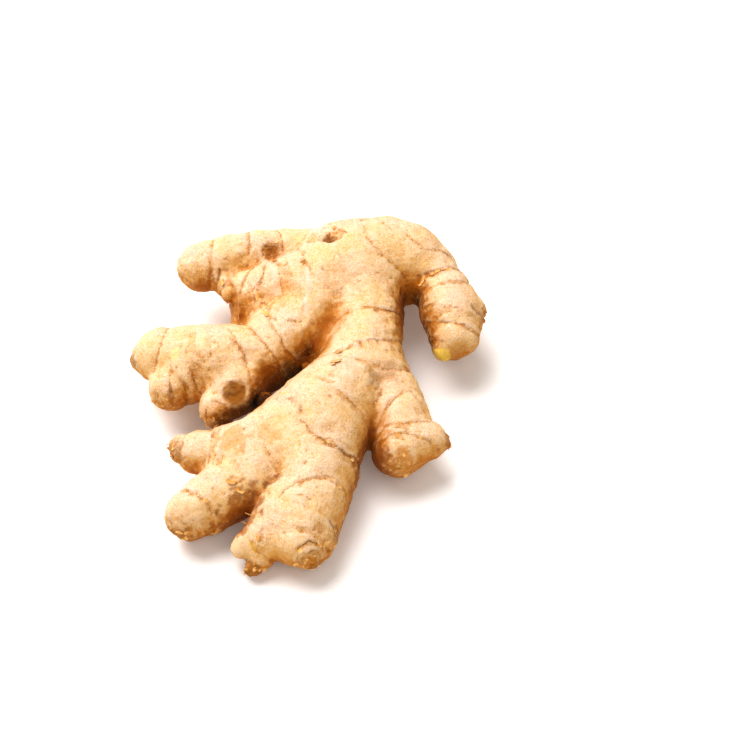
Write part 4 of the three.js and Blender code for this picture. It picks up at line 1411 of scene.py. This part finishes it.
# %% Where flakes stand
# Along a line: (line, how many, mean length). In a torn place: (place, radius, how many, mean length).
FLAKED_LINES = [
    ("body_ring", 9, 1.1), ("toe_c_ring", 13, 1.0), ("finger_ring", 9, 1.0), ("thumb_ring_tip", 10, 1.2),
    ("torn_edge", 22, 1.2), ("knot_ring", 8, 1.1), ("toe_b_ring", 6, 0.9), ("arm_ring_tip", 9, 0.9),
    ("arm_ring_middle", 7, 0.9), ("thumb_ring_middle", 6, 0.9), ("finger_ring_tip", 6, 0.9),
    ("stem_nick", 3, 1.3), ("stem_nick_low", 3, 1.5), ("end_scale", 6, 1.4), ("neck_ring", 5, 0.8),
    ("shoulder_crack", 5, 0.9), ("finger_fold", 5, 0.9), ("toe_patch", 10, 0.9), ("knob_lip", 4, 1.0),
]
FLAKED_PLACES = [
    ((-69.0, -50.0, 17), 6.0, 26, 1.1), ((-65.0, -82.0, 12), 8.0, 20, 1.1),
    ((-41.0, -92.0, 5), 4.0, 14, 1.2), ((-38.0, -87.0, 15), 4.5, 10, 1.1),
    ((-21.0, -94.0, 11), 6.0, 18, 1.1), ((9.0, -54.0, 17), 6.0, 12, 1.1),
    ((26.0, -43.6, 14.0), 4.5, 16, 1.2), ((-49.0, 16.0, 18), 9.0, 26, 1.3),
    ((-70.0, 30.0, 22), 6.0, 10, 1.0), ((-73.5, -27.0, 17), 6.0, 12, 1.0),
    ((-85.0, -11.0, 20), 4.0, 8, 0.9), ((-37.4, 32.5, 30.0), 5.0, 10, 1.1),
    ((38.0, 10.0, 21), 4.5, 8, 1.0), ((-56.5, -34.5, 15), 4.0, 8, 1.1),
    ((-19.5, 57.0, 13.5), 4.0, 8, 1.0),
]
# A lone curl: (place, direction it points, width, length, how far it stands up).
CURLS = [
    ((-48.0, -68.0, 22.9), (-0.2, -1, 0), 3.4, 1.6, 1.2),
    ((-45.2, -70.5, 20.5), (-0.2, -1, 0), 3.2, 1.5, 1.2),
    ((-13.2, -16.3, 33.9), (0.2, -1, 0), 2.8, 1.8, 1.0),
    ((-13.2, -23.1, 33.8), (0.2, -1, 0), 3.2, 2.0, 1.1),
    ((-31.6, -36.0, 31.5), (-0.6, 1, 0), 2.4, 1.6, 1.1),
    ((-54.5, -37.0, 15.0), (-0.6, -1, 0), 1.6, 2.0, 1.2),
]
LOWEST_FLAKE = 1.5
TURN_SHAKE = 0.6
PLACE_SHAKE = 0.3
skin_points = points_of(ginger)
skin_normals = normals_of(ginger)
nearest_point = KDTree(len(skin_points))
for index, place in enumerate(skin_points):
    nearest_point.insert(place, index)
nearest_point.balance()
rng = np.random.default_rng(31)
standing = []


def stand(place, ahead, width, length, height):
    """Notes a flake: on the skin beside a place, pointing ahead along it."""
    index = nearest_point.find(place)[1]
    spot = skin_points[index]
    normal = skin_normals[index]
    ahead = np.array(ahead, float)
    ahead = ahead - (ahead @ normal) * normal
    if np.linalg.norm(ahead) > 1e-3 and spot[2] > LOWEST_FLAKE:
        standing.append((spot, normal, ahead / np.linalg.norm(ahead), (width, length, height)))


for name, count, mean in FLAKED_LINES:
    line = np.array(CRACKS[name][0], float)
    runs = np.concatenate([[0], np.cumsum(np.linalg.norm(np.diff(line, axis=0), axis=1))])
    for run in rng.uniform(0, runs[-1], count):
        spot = np.array([np.interp(run, runs, column) for column in line.T])
        span = min(int(np.searchsorted(runs, run, "right")), len(line) - 1)
        ahead = np.cross(line[span] - line[span - 1], (0, 0, 1)) + rng.normal(0, TURN_SHAKE, 3)
        size = mean * rng.uniform(0.5, 1.5)
        stand(spot + rng.normal(0, PLACE_SHAKE, 3), ahead, size * rng.uniform(0.7, 1.8), size, 0.6 * size)
for place, radius, count, mean in FLAKED_PLACES:
    for _ in range(count):
        spot = np.array(place) + radius * rng.normal(0, 0.5, 3)
        size = mean * rng.uniform(0.5, 1.6)
        stand(spot, rng.normal(0, 1, 3), size * rng.uniform(0.6, 1.4), size, rng.uniform(0.25, 0.8) * size)
for curl in CURLS:
    stand(*curl)
print(len(standing), "flakes")

# %% Copy the flakes to their places
ROOT_DEPTH = 0.12
ROOT_SHIFT = 0.3


def stand_on(model, place, normal, ahead, size):
    """A copy of the model with its own mesh, turned and scaled so that its y runs ahead."""
    made = model.copy()
    made.data = model.data.copy()
    bpy.context.scene.collection.objects.link(made)
    side = np.cross(ahead, normal)
    axes = np.column_stack([side * size[0], ahead * size[1], normal * size[2]]) / MM
    foot = (place - ROOT_DEPTH * normal + ROOT_SHIFT * size[1] * ahead + TO_FRAME) / MM
    made.matrix_world = Matrix.Translation(Vector(foot)) @ Matrix(axes.tolist()).to_4x4()
    return made


copies = [stand_on(flakes[number % len(flakes)], *where) for number, where in enumerate(standing)]
print(len(copies), "copies")

# %% [markdown]
# ## Rootlets
# The fine roots were trimmed off, and short nubs of them are left by the front toes. Each is a thin
# cone with a shaken side, set into the skin and pointing straight out of it.

# %% Rootlets
# A rootlet is (place, length).
ROOTLETS = [((-42.5, -76.5, 15.0), 2.6), ((-43.5, -78.5, 13.5), 2.2), ((-71.0, -47.0, 17.0), 1.6)]
ROOTLET_FOOT, ROOTLET_TIP = 0.22, 0.12
ROOTLET_SHAKE = 0.05


def model_rootlet():
    bpy.ops.object.select_all(action="DESELECT")
    bpy.ops.mesh.primitive_cone_add(
        vertices=7, radius1=ROOTLET_FOOT, radius2=ROOTLET_TIP, depth=1, rotation=(-math.pi / 2, 0, 0)
    )
    rootlet = bpy.context.object
    bpy.ops.object.transform_apply(location=True, rotation=True, scale=True)
    bpy.ops.object.mode_set(mode="EDIT")
    bpy.ops.mesh.select_all(action="SELECT")
    bpy.ops.mesh.subdivide(number_cuts=2)
    bpy.ops.transform.vertex_random(offset=ROOTLET_SHAKE, seed=5)
    bpy.ops.object.mode_set(mode="OBJECT")
    store(rootlet, "along", np.array([vertex.co.y + 0.5 for vertex in rootlet.data.vertices]))
    return rootlet


rootlet = model_rootlet()
for place, length in ROOTLETS:
    index = nearest_point.find(place)[1]
    out = skin_normals[index]
    across = np.cross(out, (0, 0, 1))
    across = across / np.linalg.norm(across)
    copies.append(stand_on(rootlet, skin_points[index], across, out, (length / 2, length, length / 2)))
print(len(copies), "flakes and rootlets")

# %% [markdown]
# ## One piece of torn skin
# The models have served, so they are removed. The copies are joined into one object at the origin, which
# gets a finish of its own: tan at the root of each flake and cream at its dry tip.

# %% Join them into one piece
SHARP_ANGLE = math.radians(40)
for model in flakes + [rootlet]:
    bpy.data.objects.remove(model, do_unlink=True)
bpy.ops.object.select_all(action="DESELECT")
for made in copies:
    made.select_set(True)
bpy.context.view_layer.objects.active = copies[0]
bpy.ops.object.transform_apply(location=True, rotation=True, scale=True)
bpy.ops.object.join()
torn_skin = bpy.context.object
torn_skin.name = "torn_skin"
bpy.ops.object.shade_smooth_by_angle(angle=SHARP_ANGLE)
print("torn skin has", len(torn_skin.data.polygons), "faces")

# %% The finish of the flakes
DRY_TIP = paint(238, 196, 134)
flaky = Finish("dry_flakes", TAN, Roughness=0.7, Specular_IOR_Level=0.2)
place = flaky.place()
along = flaky.attribute("along")
grain = flaky.grains(place, 0.6, detail=3, rough=0.7)
patch = flaky.grains(place, 9.0, detail=2)
flaky.coat((along + 1.2 * (grain - 0.5)).rise(-0.3, 0.8), DRY_TIP)
flaky.coat((along + 0.8 * (grain - 0.5)).rise(0.6, 1.1, 0.35), PALE)
flaky.coat((patch + 0.3 * (grain - 0.5)).rise(0.48, 0.62, 0.4), OCHRE)
flaky.into("Base Color", flaky.colour)
flaky.into("Normal", flaky.add("Bump", {"Height": grain, "Strength": 0.6, "Distance": 0.0003}))
torn_skin.data.materials.clear()
torn_skin.data.materials.append(flaky.material)
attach(torn_skin, "root")
print("flakes have", len(flaky.tree.nodes), "nodes")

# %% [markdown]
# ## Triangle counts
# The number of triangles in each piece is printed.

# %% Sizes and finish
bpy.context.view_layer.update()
for piece in (ginger, torn_skin):
    print(piece.name, "has", sum(len(face.vertices) - 2 for face in piece.data.polygons), "triangles")
